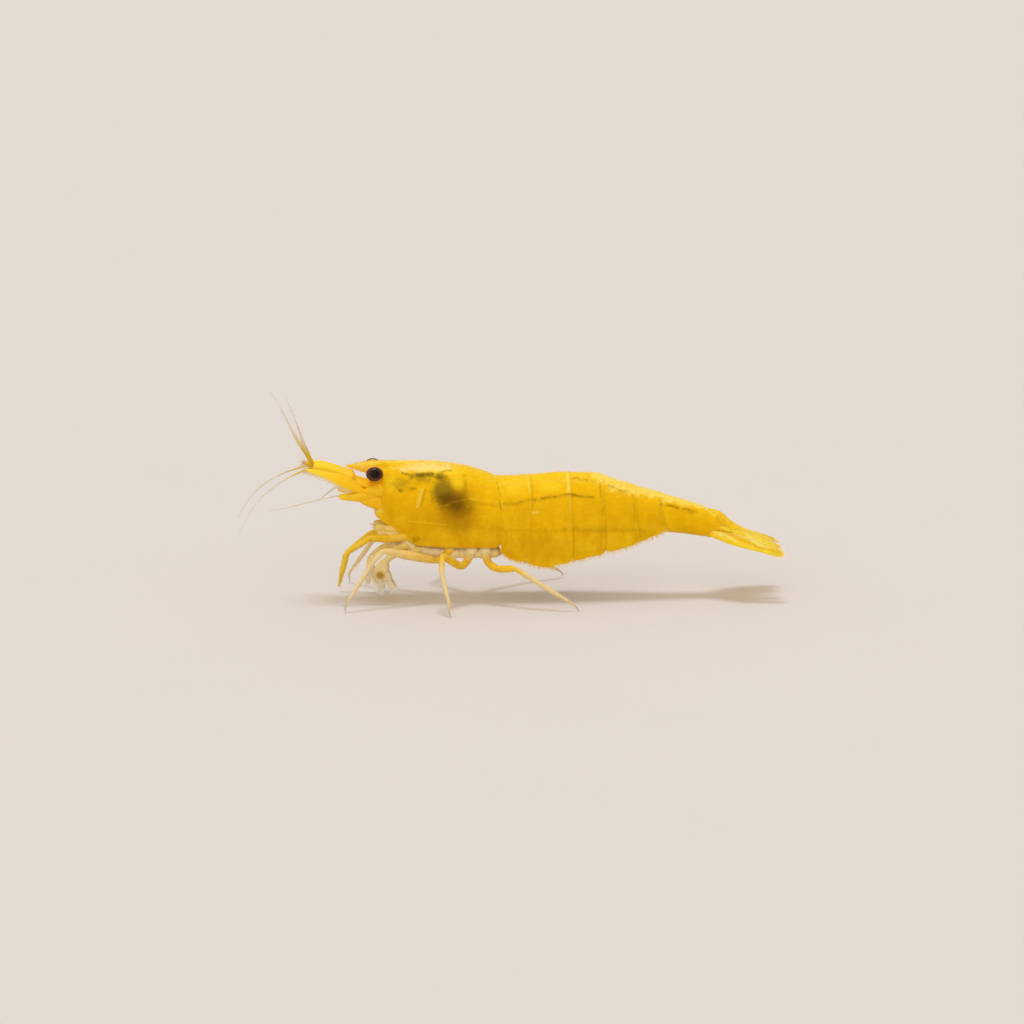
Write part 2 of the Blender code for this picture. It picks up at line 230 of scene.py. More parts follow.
def makePiece(name, shape, material, nodes=(), weld=0.0, sharp=50, hairy=False):
    # one finished piece that stands for the given solids; hairy ones get their own colour map
    mesh = bpy.data.meshes.new(name)
    spots = (np.array(shape["points"]) + shift) * mm
    mesh.from_pydata(spots.tolist(), [], shape["faces"])
    for key in ("along", "around", "rim"):
        layer = mesh.attributes.new(key, "FLOAT", "POINT")
        layer.data.foreach_set("value", np.array(shape[key], np.float32))
    if hairy:
        corners = np.zeros(len(mesh.loops), np.int32)
        mesh.loops.foreach_get("vertex_index", corners)
        unwrap = mesh.uv_layers.new(name="OFBake")
        unwrap.data.foreach_set("uv", np.array(shape["patch"], np.float32)[corners].ravel())
    bm = bmesh.new()
    bm.from_mesh(mesh)
    if weld:
        bmesh.ops.remove_doubles(bm, verts=bm.verts, dist=weld * mm)
        bmesh.ops.dissolve_degenerate(bm, edges=bm.edges, dist=weld * mm * 0.1)
        openEdges = [edge for edge in bm.edges if edge.is_boundary]
        if openEdges:
            bmesh.ops.holes_fill(bm, edges=openEdges, sides=0)
    bmesh.ops.recalc_face_normals(bm, faces=bm.faces)
    bm.to_mesh(mesh)
    bm.free()
    mesh.shade_smooth()
    mesh.set_sharp_from_angle(angle=math.radians(sharp))
    mesh.materials.append(material)
    piece = bpy.data.objects.new(name, mesh)
    bpy.context.collection.objects.link(piece)
    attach(piece, "root")
    if nodes:
        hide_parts(*nodes)
    print("made", name, len(mesh.polygons), "faces")


# shader tools, and below them the node groups that the materials share
def putNode(tree, kind, values=None, **settings):
    made = tree.nodes.new(kind)
    for name, value in settings.items():
        setattr(made, name, value)
    for name, value in (values or {}).items():
        socket = made.inputs[name]
        if isinstance(value, bpy.types.NodeSocket):
            tree.links.new(value, socket)
        else:
            socket.default_value = value
    return made


def mathNode(tree, operation, first, second=0.0):
    return putNode(tree, "ShaderNodeMath", {0: first, 1: second}, operation=operation).outputs[0]


def vectorNode(tree, operation, first, second=(0.0, 0.0, 0.0)):
    made = putNode(tree, "ShaderNodeVectorMath", {0: first, 1: second}, operation=operation)
    return made.outputs["Value" if operation in ("LENGTH", "DOT_PRODUCT") else "Vector"]


def scaleNode(tree, vector, factor):
    made = putNode(tree, "ShaderNodeVectorMath", {0: vector, "Scale": factor}, operation="SCALE")
    return made.outputs["Vector"]


def noiseNode(tree, place, scale, detail, roughness=0.5):
    return putNode(tree, "ShaderNodeTexNoise", {
        "Vector": place, "Scale": scale, "Detail": detail, "Roughness": roughness}).outputs


def mixColour(tree, factor, first, second):
    made = putNode(tree, "ShaderNodeMix", {0: factor, 6: first, 7: second}, data_type="RGBA")
    return made.outputs[2]


def paint(tree, base, mask, strength, tint):
    # tint over base where the mask is, at most at this strength
    return mixColour(tree, mathNode(tree, "MULTIPLY", mask, strength), base, tint)


def remap(tree, value, fromLow, fromHigh, toLow=0.0, toHigh=1.0):
    made = putNode(tree, "ShaderNodeMapRange", {
        "Value": value, "From Min": fromLow, "From Max": fromHigh, "To Min": toLow,
        "To Max": toHigh}, interpolation_type="SMOOTHSTEP")
    return made.outputs["Result"]


def colour(red, green, blue):
    return (red, green, blue, 1.0)


def newGroup(name, inputs, outputs):
    # inputs are (name, kind, value), outputs (name, kind)
    group = bpy.data.node_groups.new(name, "ShaderNodeTree")
    for label, kind, value in inputs:
        socket = group.interface.new_socket(name=label, in_out="INPUT", socket_type=kind)
        socket.default_value = value
    for label, kind in outputs:
        group.interface.new_socket(name=label, in_out="OUTPUT", socket_type=kind)
    given = group.nodes.new("NodeGroupInput").outputs
    made = group.nodes.new("NodeGroupOutput").inputs
    return group, given, made


def bodyPlace(tree):
    # the place on the animal in mm, as in the lists of this script
    place = putNode(tree, "ShaderNodeTexCoord").outputs["Object"]
    return vectorNode(tree, "SUBTRACT", scaleNode(tree, place, 1 / mm), tuple(shift))


def makeSpeckleGroup():
    # round pigment cells of one size, Share of them filled
    group, given, made = newGroup("pigmentCells", [
        ("Scale", "NodeSocketFloat", 6.0), ("Size", "NodeSocketFloat", 0.2),
        ("Share", "NodeSocketFloat", 0.5), ("Offset", "NodeSocketVector", (0, 0, 0))],
        [("Mask", "NodeSocketFloat")])
    place = vectorNode(group, "ADD", bodyPlace(group), given["Offset"])
    push = scaleNode(group, noiseNode(group, place, 3.0, 2.0)["Color"], 0.12)
    cells = putNode(group, "ShaderNodeTexVoronoi", {
        "Vector": vectorNode(group, "ADD", place, push), "Scale": given["Scale"]})
    inner = mathNode(group, "MULTIPLY", given["Size"], 0.35)
    dots = remap(group, cells.outputs["Distance"], inner, given["Size"], 1.0, 0.0)
    split = putNode(group, "ShaderNodeSeparateColor", {"Color": cells.outputs["Color"]})
    chosen = mathNode(group, "LESS_THAN", split.outputs["Red"], given["Share"])
    group.links.new(mathNode(group, "MULTIPLY", dots, chosen), made["Mask"])
    return group


def makeMottleGroup():
    # cloudy tone from 0 to 1
    group, given, made = newGroup("cloudyTone", [
        ("Scale", "NodeSocketFloat", 1.0), ("Contrast", "NodeSocketFloat", 0.2),
        ("Stretch", "NodeSocketVector", (1, 1, 1))], [("Value", "NodeSocketFloat")])
    place = vectorNode(group, "MULTIPLY", bodyPlace(group), given["Stretch"])
    cloud = noiseNode(group, place, given["Scale"], 5.0, 0.6)["Fac"]
    low = mathNode(group, "SUBTRACT", 0.5, given["Contrast"])
    high = mathNode(group, "ADD", 0.5, given["Contrast"])
    group.links.new(remap(group, cloud, low, high), made["Value"])
    return group


def makePatchGroup():
    # a soft patch round a point, the same on both sides of the animal
    group, given, made = newGroup("softPatch", [
        ("Centre", "NodeSocketVector", (0, 0, 0)), ("Size", "NodeSocketVector", (1, 1, 1)),
        ("Edge", "NodeSocketFloat", 0.5), ("Ragged", "NodeSocketFloat", 0.3),
        ("Detail", "NodeSocketFloat", 1.2)],
        [("Mask", "NodeSocketFloat")])
    place = bodyPlace(group)
    mirrored = vectorNode(group, "ABSOLUTE", place)
    parts = putNode(group, "ShaderNodeSeparateXYZ", {0: place})
    flipped = putNode(group, "ShaderNodeSeparateXYZ", {0: mirrored})
    spot = putNode(group, "ShaderNodeCombineXYZ", {
        0: parts.outputs[0], 1: flipped.outputs[1], 2: parts.outputs[2]}).outputs[0]
    away = vectorNode(group, "DIVIDE", vectorNode(group, "SUBTRACT", spot, given["Centre"]),
                      given["Size"])
    far = vectorNode(group, "LENGTH", away)
    cloud = noiseNode(group, place, given["Detail"], 4.0, 0.65)["Fac"]
    ragged = mathNode(group, "MULTIPLY", mathNode(group, "SUBTRACT", cloud, 0.5), given["Ragged"])
    fine = noiseNode(group, place, 7.0, 3.0)["Fac"]
    grainy = mathNode(group, "MULTIPLY", mathNode(group, "SUBTRACT", fine, 0.5),
                      mathNode(group, "MULTIPLY", given["Ragged"], 0.9))
    reach = mathNode(group, "ADD", mathNode(group, "ADD", far, grainy),
                     mathNode(group, "MULTIPLY", ragged, 2.2))
    inner = mathNode(group, "SUBTRACT", 1.0, given["Edge"])
    group.links.new(remap(group, reach, inner, 1.0, 1.0, 0.0), made["Mask"])
    return group


def makeLineGroup():
    # a thin wavering line between two places on the flank, the same on both sides
    group, given, made = newGroup("flankLine", [
        ("Start", "NodeSocketVector", (0, 0, 0)), ("End", "NodeSocketVector", (1, 0, 0)),
        ("Width", "NodeSocketFloat", 0.05), ("Waver", "NodeSocketFloat", 0.1),
        ("Broken", "NodeSocketFloat", 0.3)],
        [("Mask", "NodeSocketFloat")])
    place = bodyPlace(group)
    wave = vectorNode(group, "SUBTRACT", noiseNode(group, place, 1.4, 1.5)["Color"], (0.5, 0.5, 0.5))
    shifted = scaleNode(group, wave, given["Waver"])
    side = vectorNode(group, "MULTIPLY", vectorNode(group, "ADD", place, shifted), (1, 0, 1))
    start = vectorNode(group, "MULTIPLY", given["Start"], (1, 0, 1))
    end = vectorNode(group, "MULTIPLY", given["End"], (1, 0, 1))
    run = vectorNode(group, "SUBTRACT", end, start)
    fromStart = vectorNode(group, "SUBTRACT", side, start)
    # kept to 0..1 by two plain nodes, as Clamp on this many lines overfills the shader's memory
    share = mathNode(group, "DIVIDE", vectorNode(group, "DOT_PRODUCT", fromStart, run),
                     vectorNode(group, "DOT_PRODUCT", run, run))
    share = mathNode(group, "MINIMUM", mathNode(group, "MAXIMUM", share, 0.0), 1.0)
    foot = scaleNode(group, run, share)
    far = vectorNode(group, "LENGTH", vectorNode(group, "SUBTRACT", fromStart, foot))
    fine = noiseNode(group, place, 8.0, 3.0)["Fac"]
    grainy = mathNode(group, "MULTIPLY", mathNode(group, "SUBTRACT", fine, 0.45),
                      mathNode(group, "MULTIPLY", given["Width"], 1.3))
    line = remap(group, mathNode(group, "ADD", far, grainy), 0.0, given["Width"], 1.0, 0.0)
    gaps = noiseNode(group, place, 3.0, 3.0)["Fac"]
    kept = remap(group, gaps, mathNode(group, "MULTIPLY", given["Broken"], 0.75),
                 mathNode(group, "ADD", given["Broken"], 0.22))
    group.links.new(mathNode(group, "MULTIPLY", line, kept), made["Mask"])
    return group


def makeReliefGroup():
    # height of fine pits and soft ripples
    group, given, made = newGroup("shellRelief", [
        ("Pit Scale", "NodeSocketFloat", 14.0), ("Pit Depth", "NodeSocketFloat", 0.5),
        ("Ripple Scale", "NodeSocketFloat", 3.0)], [("Height", "NodeSocketFloat")])
    place = bodyPlace(group)
    pits = putNode(group, "ShaderNodeTexVoronoi", {"Vector": place, "Scale": given["Pit Scale"]})
    hollow = mathNode(group, "MULTIPLY", remap(group, pits.outputs["Distance"], 0.0, 0.35),
                      given["Pit Depth"])
    ripple = noiseNode(group, place, given["Ripple Scale"], 4.0)["Fac"]
    group.links.new(mathNode(group, "ADD", hollow, ripple), made["Height"])
    return group


speckleGroup = makeSpeckleGroup()
mottleGroup = makeMottleGroup()
patchGroup = makePatchGroup()
lineGroup = makeLineGroup()
reliefGroup = makeReliefGroup()


def putGroup(tree, group, values):
    made = tree.nodes.new("ShaderNodeGroup")
    made.node_tree = group
    for name, value in values.items():
        made.inputs[name].default_value = value
    return made.outputs[0]


def speckle(tree, scale, size, share, offset=(0, 0, 0)):
    return putGroup(tree, speckleGroup, {"Scale": scale, "Size": size, "Share": share,
                                         "Offset": offset})


def mottle(tree, scale, contrast, stretch=(1, 1, 1)):
    return putGroup(tree, mottleGroup, {"Scale": scale, "Contrast": contrast, "Stretch": stretch})


def softPatch(tree, centre, size, edge, ragged, detail):
    return putGroup(tree, patchGroup, {"Centre": centre, "Size": size, "Edge": edge,
                                       "Ragged": ragged, "Detail": detail})


def fineLine(tree, start, end, width, waver, broken):
    return putGroup(tree, lineGroup, {"Start": start, "End": end, "Width": width, "Waver": waver,
                                      "Broken": broken})


def reading(tree, name):
    # a value that the mesh carries: along a limb, around the body or rim for the way to an edge
    return putNode(tree, "ShaderNodeAttribute", attribute_name=name).outputs["Fac"]


def newMaterial(name, finish):
    # finish holds what is the same all over: roughness, glow radius and so on
    material = bpy.data.materials.new(name)
    material.use_nodes = True
    tree = material.node_tree
    shader = tree.nodes["Principled BSDF"]
    for label, value in finish.items():
        shader.inputs[label].default_value = value
    return material, tree, shader


def addRelief(tree, shader, strength, distance, pitScale, pitDepth, rippleScale):
    height = putGroup(tree, reliefGroup, {"Pit Scale": pitScale, "Pit Depth": pitDepth,
                                          "Ripple Scale": rippleScale})
    relief = putNode(tree, "ShaderNodeBump", {
        "Strength": strength, "Distance": distance * mm, "Height": height})
    tree.links.new(relief.outputs["Normal"], shader.inputs["Normal"])


# the shell: colours, then what shows through and on it
shellFinish = {
    "finish": {"Roughness": 0.38, "Specular IOR Level": 0.035, "Subsurface Weight": 0.30,
               "Subsurface Scale": 0.10 * mm, "Subsurface Radius": (1.0, 0.8, 0.3)},
    # upper, flank and lower darken from the back down to the lower edges: painted shade of the overhead
    # light
    "upper": colour(1.0, 0.63, 0.003),
    "flank": colour(0.95, 0.555, 0.001),
    "lower": colour(0.81, 0.475, 0.001),
    "golden": colour(1.0, 0.70, 0.02),
    "cream": colour(1.0, 0.75, 0.15),
    "pale": colour(0.98, 0.76, 0.28),
    "deep": colour(0.70, 0.355, 0.002),
    "amber": colour(0.50, 0.255, 0.002),
    "brown": colour(0.150, 0.064, 0.001),
    "olive": colour(0.235, 0.152, 0.006),
    "ink": colour(0.060, 0.040, 0.003),
    # tint of the painted highlight along the plates' thin edges
    "rim": colour(0.98, 0.64, 0.05),
    # the pale saddle of the back: (x, how far down the sides it reaches)
    "saddle": [(-9.5, 0.10), (-7.0, 0.13), (-4.0, 0.11), (-1.6, 0.05), (1.0, 0.045), (3.6, 0.05),
               (4.7, 0.09), (5.3, 0.30), (6.2, 0.37), (7.2, 0.36), (8.2, 0.38), (9.2, 0.34),
               (10.6, 0.28), (12.9, 0.22)],
    "saddleStrength": 0.82,
    # pigment cells: (tint, scale, size, share, offset, strength)
    "cells": [("cream", 8.0, 0.50, 0.50, (0, 0, 0), 0.32),
              ("amber", 5.0, 0.30, 0.20, (3, 7, 1), 0.50)],
    # strength, distance, scale and depth of the pits, scale of the ripples
    "relief": (0.45, 0.03, 9.0, 0.35, 2.0),
}
# (tint, scale, contrast, stretch, strength): cloudy tones under all else. A strength of four
# numbers runs from the third to the fourth as "around" goes from the first to the second
shellClouds = [
    ("deep", 0.55, 0.22, (1, 1, 1), 0.30),
    ("golden", 1.0, 0.16, (2.6, 1.0, 0.8), 0.20),
    # these two are painted shade and light of the upright folds on the lower sides, the shade growing
    # towards the lower edges
    ("deep", 0.95, 0.10, (1.6, 0.6, 0.6), (0.35, 0.80, 0.06, 0.50)),
    ("golden", 1.15, 0.10, (1.0, 0.7, 0.8), (0.55, 0.85, 0.0, 0.38)),
    ("deep", 1.6, 0.18, (0.6, 1.0, 3.0), 0.20),
    ("deep", 5.5, 0.22, (1, 1, 1), 0.22),
]
# (tint, centre, size, edge, ragged, strength), painted in this order: first painted highlights on the
# rostrum and the carapace's top, then the organs that show through, then what lies over them
shellPatches = [
    # painted light: a paler rostrum where its lower half lies in shade
    ("cream", (-9.3, 0.0, 8.35), (1.3, 0.6, 0.55), 0.9, 0.30, 0.60),
    # painted highlights on the top of the carapace
    ("pale", (-5.4, 0.9, 8.50), (2.4, 1.0, 0.38), 0.9, 1.10, 0.60),
    ("golden", (-4.6, 1.2, 8.25), (1.9, 1.0, 0.34), 0.8, 0.40, 0.70),
    ("golden", (-7.6, 1.3, 7.6), (0.7, 1.0, 0.8), 0.9, 0.30, 0.60),
    ("cream", (-8.40, 1.0, 5.75), (0.42, 1.2, 0.40), 0.9, 0.20, 0.55),
    ("deep", (-5.6, 1.9, 5.0), (2.4, 1.5, 1.6), 0.95, 0.45, 0.35),
    ("amber", (-3.6, 1.9, 6.0), (2.3, 1.5, 2.4), 0.98, 0.20, 0.70),
    ("amber", (-3.4, 1.9, 5.35), (1.60, 1.4, 1.5), 0.98, 0.22, 0.85),
    ("olive", (-4.40, 1.9, 7.15), (1.00, 1.4, 1.30), 0.70, 0.26, 0.85),
    ("brown", (-3.60, 1.9, 6.35), (1.50, 1.4, 1.25), 0.92, 0.22, 0.86),
    ("brown", (-4.15, 1.9, 6.62), (1.05, 1.4, 0.55), 0.92, 0.26, 0.72),
    ("golden", (-3.50, 1.7, 7.62), (0.62, 1.4, 0.48), 0.85, 0.45, 0.50),
    ("ink", (-4.55, 1.5, 7.98), (0.62, 1.4, 0.34), 0.85, 0.45, 0.75),
    ("olive", (-5.45, 1.7, 7.75), (0.9, 1.4, 0.42), 0.95, 0.50, 0.40),
    ("ink", (-5.50, 1.5, 8.06), (1.20, 1.4, 0.20), 0.90, 0.80, 0.55),
    ("olive", (-7.1, 1.5, 7.60), (0.80, 1.4, 0.50), 0.95, 1.00, 0.40),
    ("brown", (-6.1, 1.9, 3.98), (0.42, 1.4, 0.42), 0.95, 0.40, 0.55),
    ("deep", (1.6, 1.9, 3.6), (2.2, 1.5, 1.3), 0.95, 0.45, 0.55),
    ("amber", (5.2, 1.9, 4.6), (1.6, 1.5, 0.5), 0.95, 0.50, 0.28),
    ("golden", (0.0, 1.2, 7.0), (0.9, 1.0, 0.6), 0.9, 0.40, 0.50),
    ("golden", (2.3, 1.2, 7.2), (1.0, 1.0, 0.45), 0.9, 0.40, 0.50),
]
# (tint, start, end, width, waver, broken, strength)
flankLines = [
    # painted highlight along the carapace's top, above the dark line under it
    ("pale", (-6.9, 0, 8.36), (-4.0, 0, 8.44), 0.26, 0.20, 0.34, 0.60),
    ("ink", (-6.9, 0, 8.16), (-6.3, 0, 8.04), 0.15, 0.25, 0.40, 0.60),
    ("ink", (-6.3, 0, 8.04), (-5.0, 0, 8.10), 0.20, 0.16, 0.33, 0.66),
    ("olive", (-6.4, 0, 7.92), (-4.9, 0, 8.00), 0.34, 0.25, 0.36, 0.55),
    ("ink", (-5.0, 0, 8.14), (-3.9, 0, 8.28), 0.13, 0.25, 0.42, 0.50),
    ("olive", (-7.6, 0, 7.62), (-7.0, 0, 7.15), 0.19, 0.45, 0.42, 0.65),
    ("olive", (-7.0, 0, 7.15), (-6.2, 0, 7.30), 0.17, 0.55, 0.46, 0.55),
    ("ink", (-7.2, 0, 7.9), (-6.2, 0, 7.5), 0.12, 0.60, 0.48, 0.40),
    ("olive", (-3.05, 0, 8.0), (-2.95, 0, 6.6), 0.20, 0.30, 0.42, 0.35),
    ("cream", (-5.72, 0, 7.20), (-6.0, 0, 6.15), 0.19, 0.06, 0.10, 0.45),
    ("amber", (-5.50, 0, 7.20), (-5.74, 0, 6.2), 0.13, 0.08, 0.20, 0.60),
    ("golden", (-6.5, 0, 5.22), (-4.2, 0, 5.02), 0.10, 0.08, 0.20, 0.36),
    ("golden", (-4.45, 0, 6.20), (-3.6, 0, 6.50), 0.09, 0.12, 0.35, 0.16),
    ("golden", (-3.6, 0, 6.50), (-2.8, 0, 6.68), 0.09, 0.12, 0.35, 0.18),
    ("golden", (-2.8, 0, 6.68), (-0.9, 0, 6.42), 0.10, 0.15, 0.30, 0.32),
    ("amber", (-2.7, 0, 6.45), (-0.9, 0, 6.15), 0.16, 0.20, 0.30, 0.30),
    ("golden", (-2.2, 0, 5.55), (-0.5, 0, 5.50), 0.09, 0.12, 0.35, 0.30),
    ("deep", (-2.4, 0, 4.9), (-0.6, 0, 4.7), 0.25, 0.30, 0.35, 0.45),
    ("brown", (-0.95, 0, 7.55), (-0.80, 0, 5.9), 0.13, 0.25, 0.44, 0.30),
    ("amber", (-0.6, 0, 6.25), (1.3, 0, 6.50), 0.22, 0.30, 0.32, 0.60),
    ("amber", (1.3, 0, 6.50), (3.4, 0, 6.78), 0.20, 0.25, 0.28, 0.72),
    ("brown", (1.6, 0, 6.55), (3.4, 0, 6.80), 0.12, 0.25, 0.44, 0.36),
    ("amber", (3.5, 0, 6.78), (5.0, 0, 6.62), 0.20, 0.25, 0.22, 0.72),
    ("brown", (3.5, 0, 6.80), (5.0, 0, 6.62), 0.12, 0.25, 0.40, 0.42),
    ("deep", (1.15, 0, 7.6), (1.10, 0, 4.2), 0.16, 0.30, 0.35, 0.50),
    ("amber", (5.42, 0, 7.4), (5.62, 0, 5.5), 0.15, 0.30, 0.34, 0.55),
    ("amber", (7.5, 0, 6.6), (7.62, 0, 5.0), 0.14, 0.30, 0.40, 0.45),
    ("amber", (9.2, 0, 6.2), (9.3, 0, 4.9), 0.14, 0.30, 0.36, 0.55),
    ("amber", (-0.4, 0, 4.62), (3.2, 0, 4.60), 0.26, 0.40, 0.34, 0.30),
    ("amber", (3.2, 0, 4.60), (8.3, 0, 4.42), 0.26, 0.40, 0.32, 0.45),
    ("amber", (9.2, 0, 6.02), (11.5, 0, 5.45), 0.26, 0.40, 0.36, 0.50),
    ("ink", (9.3, 0, 6.02), (11.3, 0, 5.50), 0.15, 0.40, 0.44, 0.62),
    ("brown", (6.0, 0, 7.12), (7.1, 0, 6.80), 0.18, 0.60, 0.45, 0.50),
    ("brown", (3.7, 0, 7.70), (5.1, 0, 7.55), 0.14, 0.40, 0.46, 0.45),
    ("cream", (3.42, 0, 7.85), (3.46, 0, 7.0), 0.20, 0.10, 0.10, 0.65),
    ("cream", (3.5, 0, 7.0), (3.62, 0, 4.8), 0.12, 0.20, 0.38, 0.26),
    ("cream", (0.92, 0, 7.75), (1.0, 0, 7.0), 0.12, 0.12, 0.25, 0.40),
    ("cream", (1.2, 0, 5.72), (1.5, 0, 5.77), 0.13, 0.10, 0.05, 0.55),
    ("golden", (-0.75, 0, 7.4), (-0.6, 0, 5.2), 0.12, 0.20, 0.40, 0.30),
]


def saddle(tree, around, look):
    # mask of the pale saddle, ragged and grainy at its edge
    stations = look["saddle"]
    first, last = stations[0][0], stations[-1][0]
    x = putNode(tree, "ShaderNodeSeparateXYZ", {0: bodyPlace(tree)}).outputs[0]
    share = mathNode(tree, "DIVIDE", mathNode(tree, "SUBTRACT", x, first), last - first)
    ramp = putNode(tree, "ShaderNodeValToRGB", {"Fac": share})
    for i, (place, reach) in enumerate(stations):
        at = (place - first) / (last - first)
        stops = ramp.color_ramp.elements
        stop = stops[0] if i == 0 else stops[len(stops) - 1] if i == len(stations) - 1 else stops.new(at)
        stop.position = at
        stop.color = colour(reach, reach, reach)
    ragged = mathNode(tree, "MULTIPLY", mottle(tree, 1.7, 0.25), 0.14)
    grainy = mathNode(tree, "MULTIPLY", mottle(tree, 7.0, 0.25), 0.09)
    low = mathNode(tree, "SUBTRACT", ramp.outputs["Color"], mathNode(tree, "ADD", ragged, grainy))
    mask = remap(tree, around, low, mathNode(tree, "ADD", low, 0.07), 1.0, 0.0)
    cloud = remap(tree, mottle(tree, 3.6, 0.22), 0.0, 1.0, 0.45, 1.0)
    return mathNode(tree, "MULTIPLY", mathNode(tree, "MULTIPLY", mask, cloud), look["saddleStrength"])


def makeShellMaterial():
    look = shellFinish
    material, tree, shader = newMaterial("yellowShell", look["finish"])
    around = reading(tree, "around")
    rim = reading(tree, "rim")
    # darker from the back down the sides: painted shade of the overhead light
    base = mixColour(tree, remap(tree, around, 0.10, 0.42), look["upper"], look["flank"])
    base = mixColour(tree, remap(tree, around, 0.5, 0.95), base, look["lower"])
    for tint, scale, contrast, stretch, strength in shellClouds:
        cloud = mottle(tree, scale, contrast, stretch)
        if isinstance(strength, tuple):
            strength = remap(tree, around, *strength)
        base = paint(tree, base, cloud, strength, look[tint])
    base = mixColour(tree, saddle(tree, around, look), base, look["cream"])
    for tint, centre, size, edge, ragged, strength in shellPatches:
        mask = softPatch(tree, centre, size, edge, ragged, 1.9)
        base = paint(tree, base, mask, strength, look[tint])
    for tint, start, end, width, waver, broken, strength in flankLines:
        mask = fineLine(tree, start, end, width, waver, broken)
        base = paint(tree, base, mask, strength, look[tint])
    # pigment cells: many fine gold ones and a few dark ones, most of them on the back
    upper = remap(tree, around, 0.12, 0.45, 1.0, 0.0)
    for tint, scale, size, share, offset, strength in look["cells"]:
        dots = mathNode(tree, "MULTIPLY", speckle(tree, scale, size, share, offset), upper)
        base = paint(tree, base, dots, strength, look[tint])
    # painted highlight along the plates' thin edges, strongest high on the sides
    edge = mathNode(tree, "MULTIPLY", remap(tree, rim, 0.0, 0.14, 1.0, 0.0),
                    remap(tree, around, 0.35, 0.70, 0.16, 0.03))
    base = mixColour(tree, edge, base, look["rim"])
    tree.links.new(base, shader.inputs["Base Color"])
    roughness = remap(tree, mottle(tree, 2.5, 0.3), 0.0, 1.0, 0.30, 0.48)
    tree.links.new(roughness, shader.inputs["Roughness"])
    addRelief(tree, shader, *look["relief"])
    return material


def makePlainMaterial(name, finish, root, tip, spot, clear=None, specks=(9.0, 0.35, 0.5, 0.35),
                      turn=(0.35, 0.75), hip=None, marks=(), lines=()):
    # colour that runs from root to tip, with pigment cells and, where clear is given, see-through;
    # hip is a paler start of a limb, marks are spots (tint, centre, size, strength) and lines are
    # streaks (tint, start, end, width, strength)
    material, tree, shader = newMaterial(name, finish)
    along = reading(tree, "along")
    base = mixColour(tree, remap(tree, along, *turn), root, tip)
    if hip:
        base = mixColour(tree, remap(tree, along, 0.12, 0.30), hip, base)
    base = paint(tree, base, mottle(tree, 1.6, 0.2), 0.30, spot)
    scale, size, share, strength = specks
    base = paint(tree, base, speckle(tree, scale, size, share), strength, root)
    marked = None
    for tint, centre, size, strength in marks:
        mask = softPatch(tree, centre, size, 0.7, 0.3, 2.5)
        marked = mathNode(tree, "MULTIPLY", mask, strength)
        base = mixColour(tree, marked, base, tint)
    for tint, start, end, width, strength in lines:
        mask = fineLine(tree, start, end, width, 0.06, 0.2)
        base = paint(tree, base, mask, strength, tint)
    tree.links.new(base, shader.inputs["Base Color"])
    tree.links.new(remap(tree, mottle(tree, 3.0, 0.3), 0.0, 1.0, 0.3, 0.5),
                   shader.inputs["Roughness"])
    addRelief(tree, shader, 0.3, 0.012, pitScale=16.0, pitDepth=0.3, rippleScale=4.0)
    if clear:
        solid, thin, low, high = clear
        fade = remap(tree, along, low, high, solid, thin)
        cloud = remap(tree, mottle(tree, 2.5, 0.3), 0.0, 1.0, 0.85, 1.0)
        shown = mathNode(tree, "MULTIPLY", fade, cloud)
        if marked:
            shown = mathNode(tree, "MAXIMUM", shown, marked)
        tree.links.new(shown, shader.inputs["Alpha"])
    return material


glow = {"Roughness": 0.4, "Specular IOR Level": 0.08, "Subsurface Weight": 0.25,
        "Subsurface Scale": 0.06 * mm, "Subsurface Radius": (1.0, 0.8, 0.4)}
fleshMaterial = makePlainMaterial(
    "bodyFlesh", glow, colour(0.88, 0.50, 0.01), colour(0.90, 0.74, 0.42), colour(0.78, 0.42, 0.02),
    turn=(0.45, 0.85))
shellMaterial = makeShellMaterial()
frontMaterial = makePlainMaterial(
    "feelerStalks", glow, colour(0.93, 0.52, 0.006), colour(1.0, 0.70, 0.03),
    colour(1.0, 0.66, 0.06), turn=(0.1, 0.9))
# thin blades let the light through
bladeGlow = dict(glow)
bladeGlow["Subsurface Weight"] = 0.75
bladeGlow["Subsurface Scale"] = 0.30 * mm
tailStreaks = {"light": colour(1.0, 0.80, 0.26), "dark": colour(0.62, 0.28, 0.004)}
tailMaterial = makePlainMaterial(
    "tailBlades", bladeGlow, colour(0.97, 0.57, 0.004), colour(0.98, 0.60, 0.02),
    colour(1.0, 0.70, 0.08), clear=(1.0, 0.80, 0.80, 1.0),
    lines=(
        (tailStreaks["dark"], (12.86, 0, 4.37), (15.10, 0, 3.61), 0.15, 0.50),
        (tailStreaks["light"], (12.36, 0, 4.34), (13.05, 0, 4.02), 0.13, 0.70),
        (tailStreaks["light"], (13.00, 0, 4.15), (13.90, 0, 3.79), 0.14, 0.70),
        (tailStreaks["light"], (14.60, 0, 3.98), (15.80, 0, 3.40), 0.12, 0.65),
        (tailStreaks["dark"], (15.05, 0, 3.55), (16.65, 0, 3.12), 0.12, 0.50),
        (tailStreaks["dark"], (12.10, 0, 4.72), (13.30, 0, 4.50), 0.16, 0.35)))
feelerMaterial = makePlainMaterial(
    "feelers", glow, colour(0.80, 0.52, 0.02), colour(0.84, 0.77, 0.64), colour(0.60, 0.42, 0.06),
    clear=(1.0, 0.38, 0.30, 1.0), turn=(0.22, 0.48))
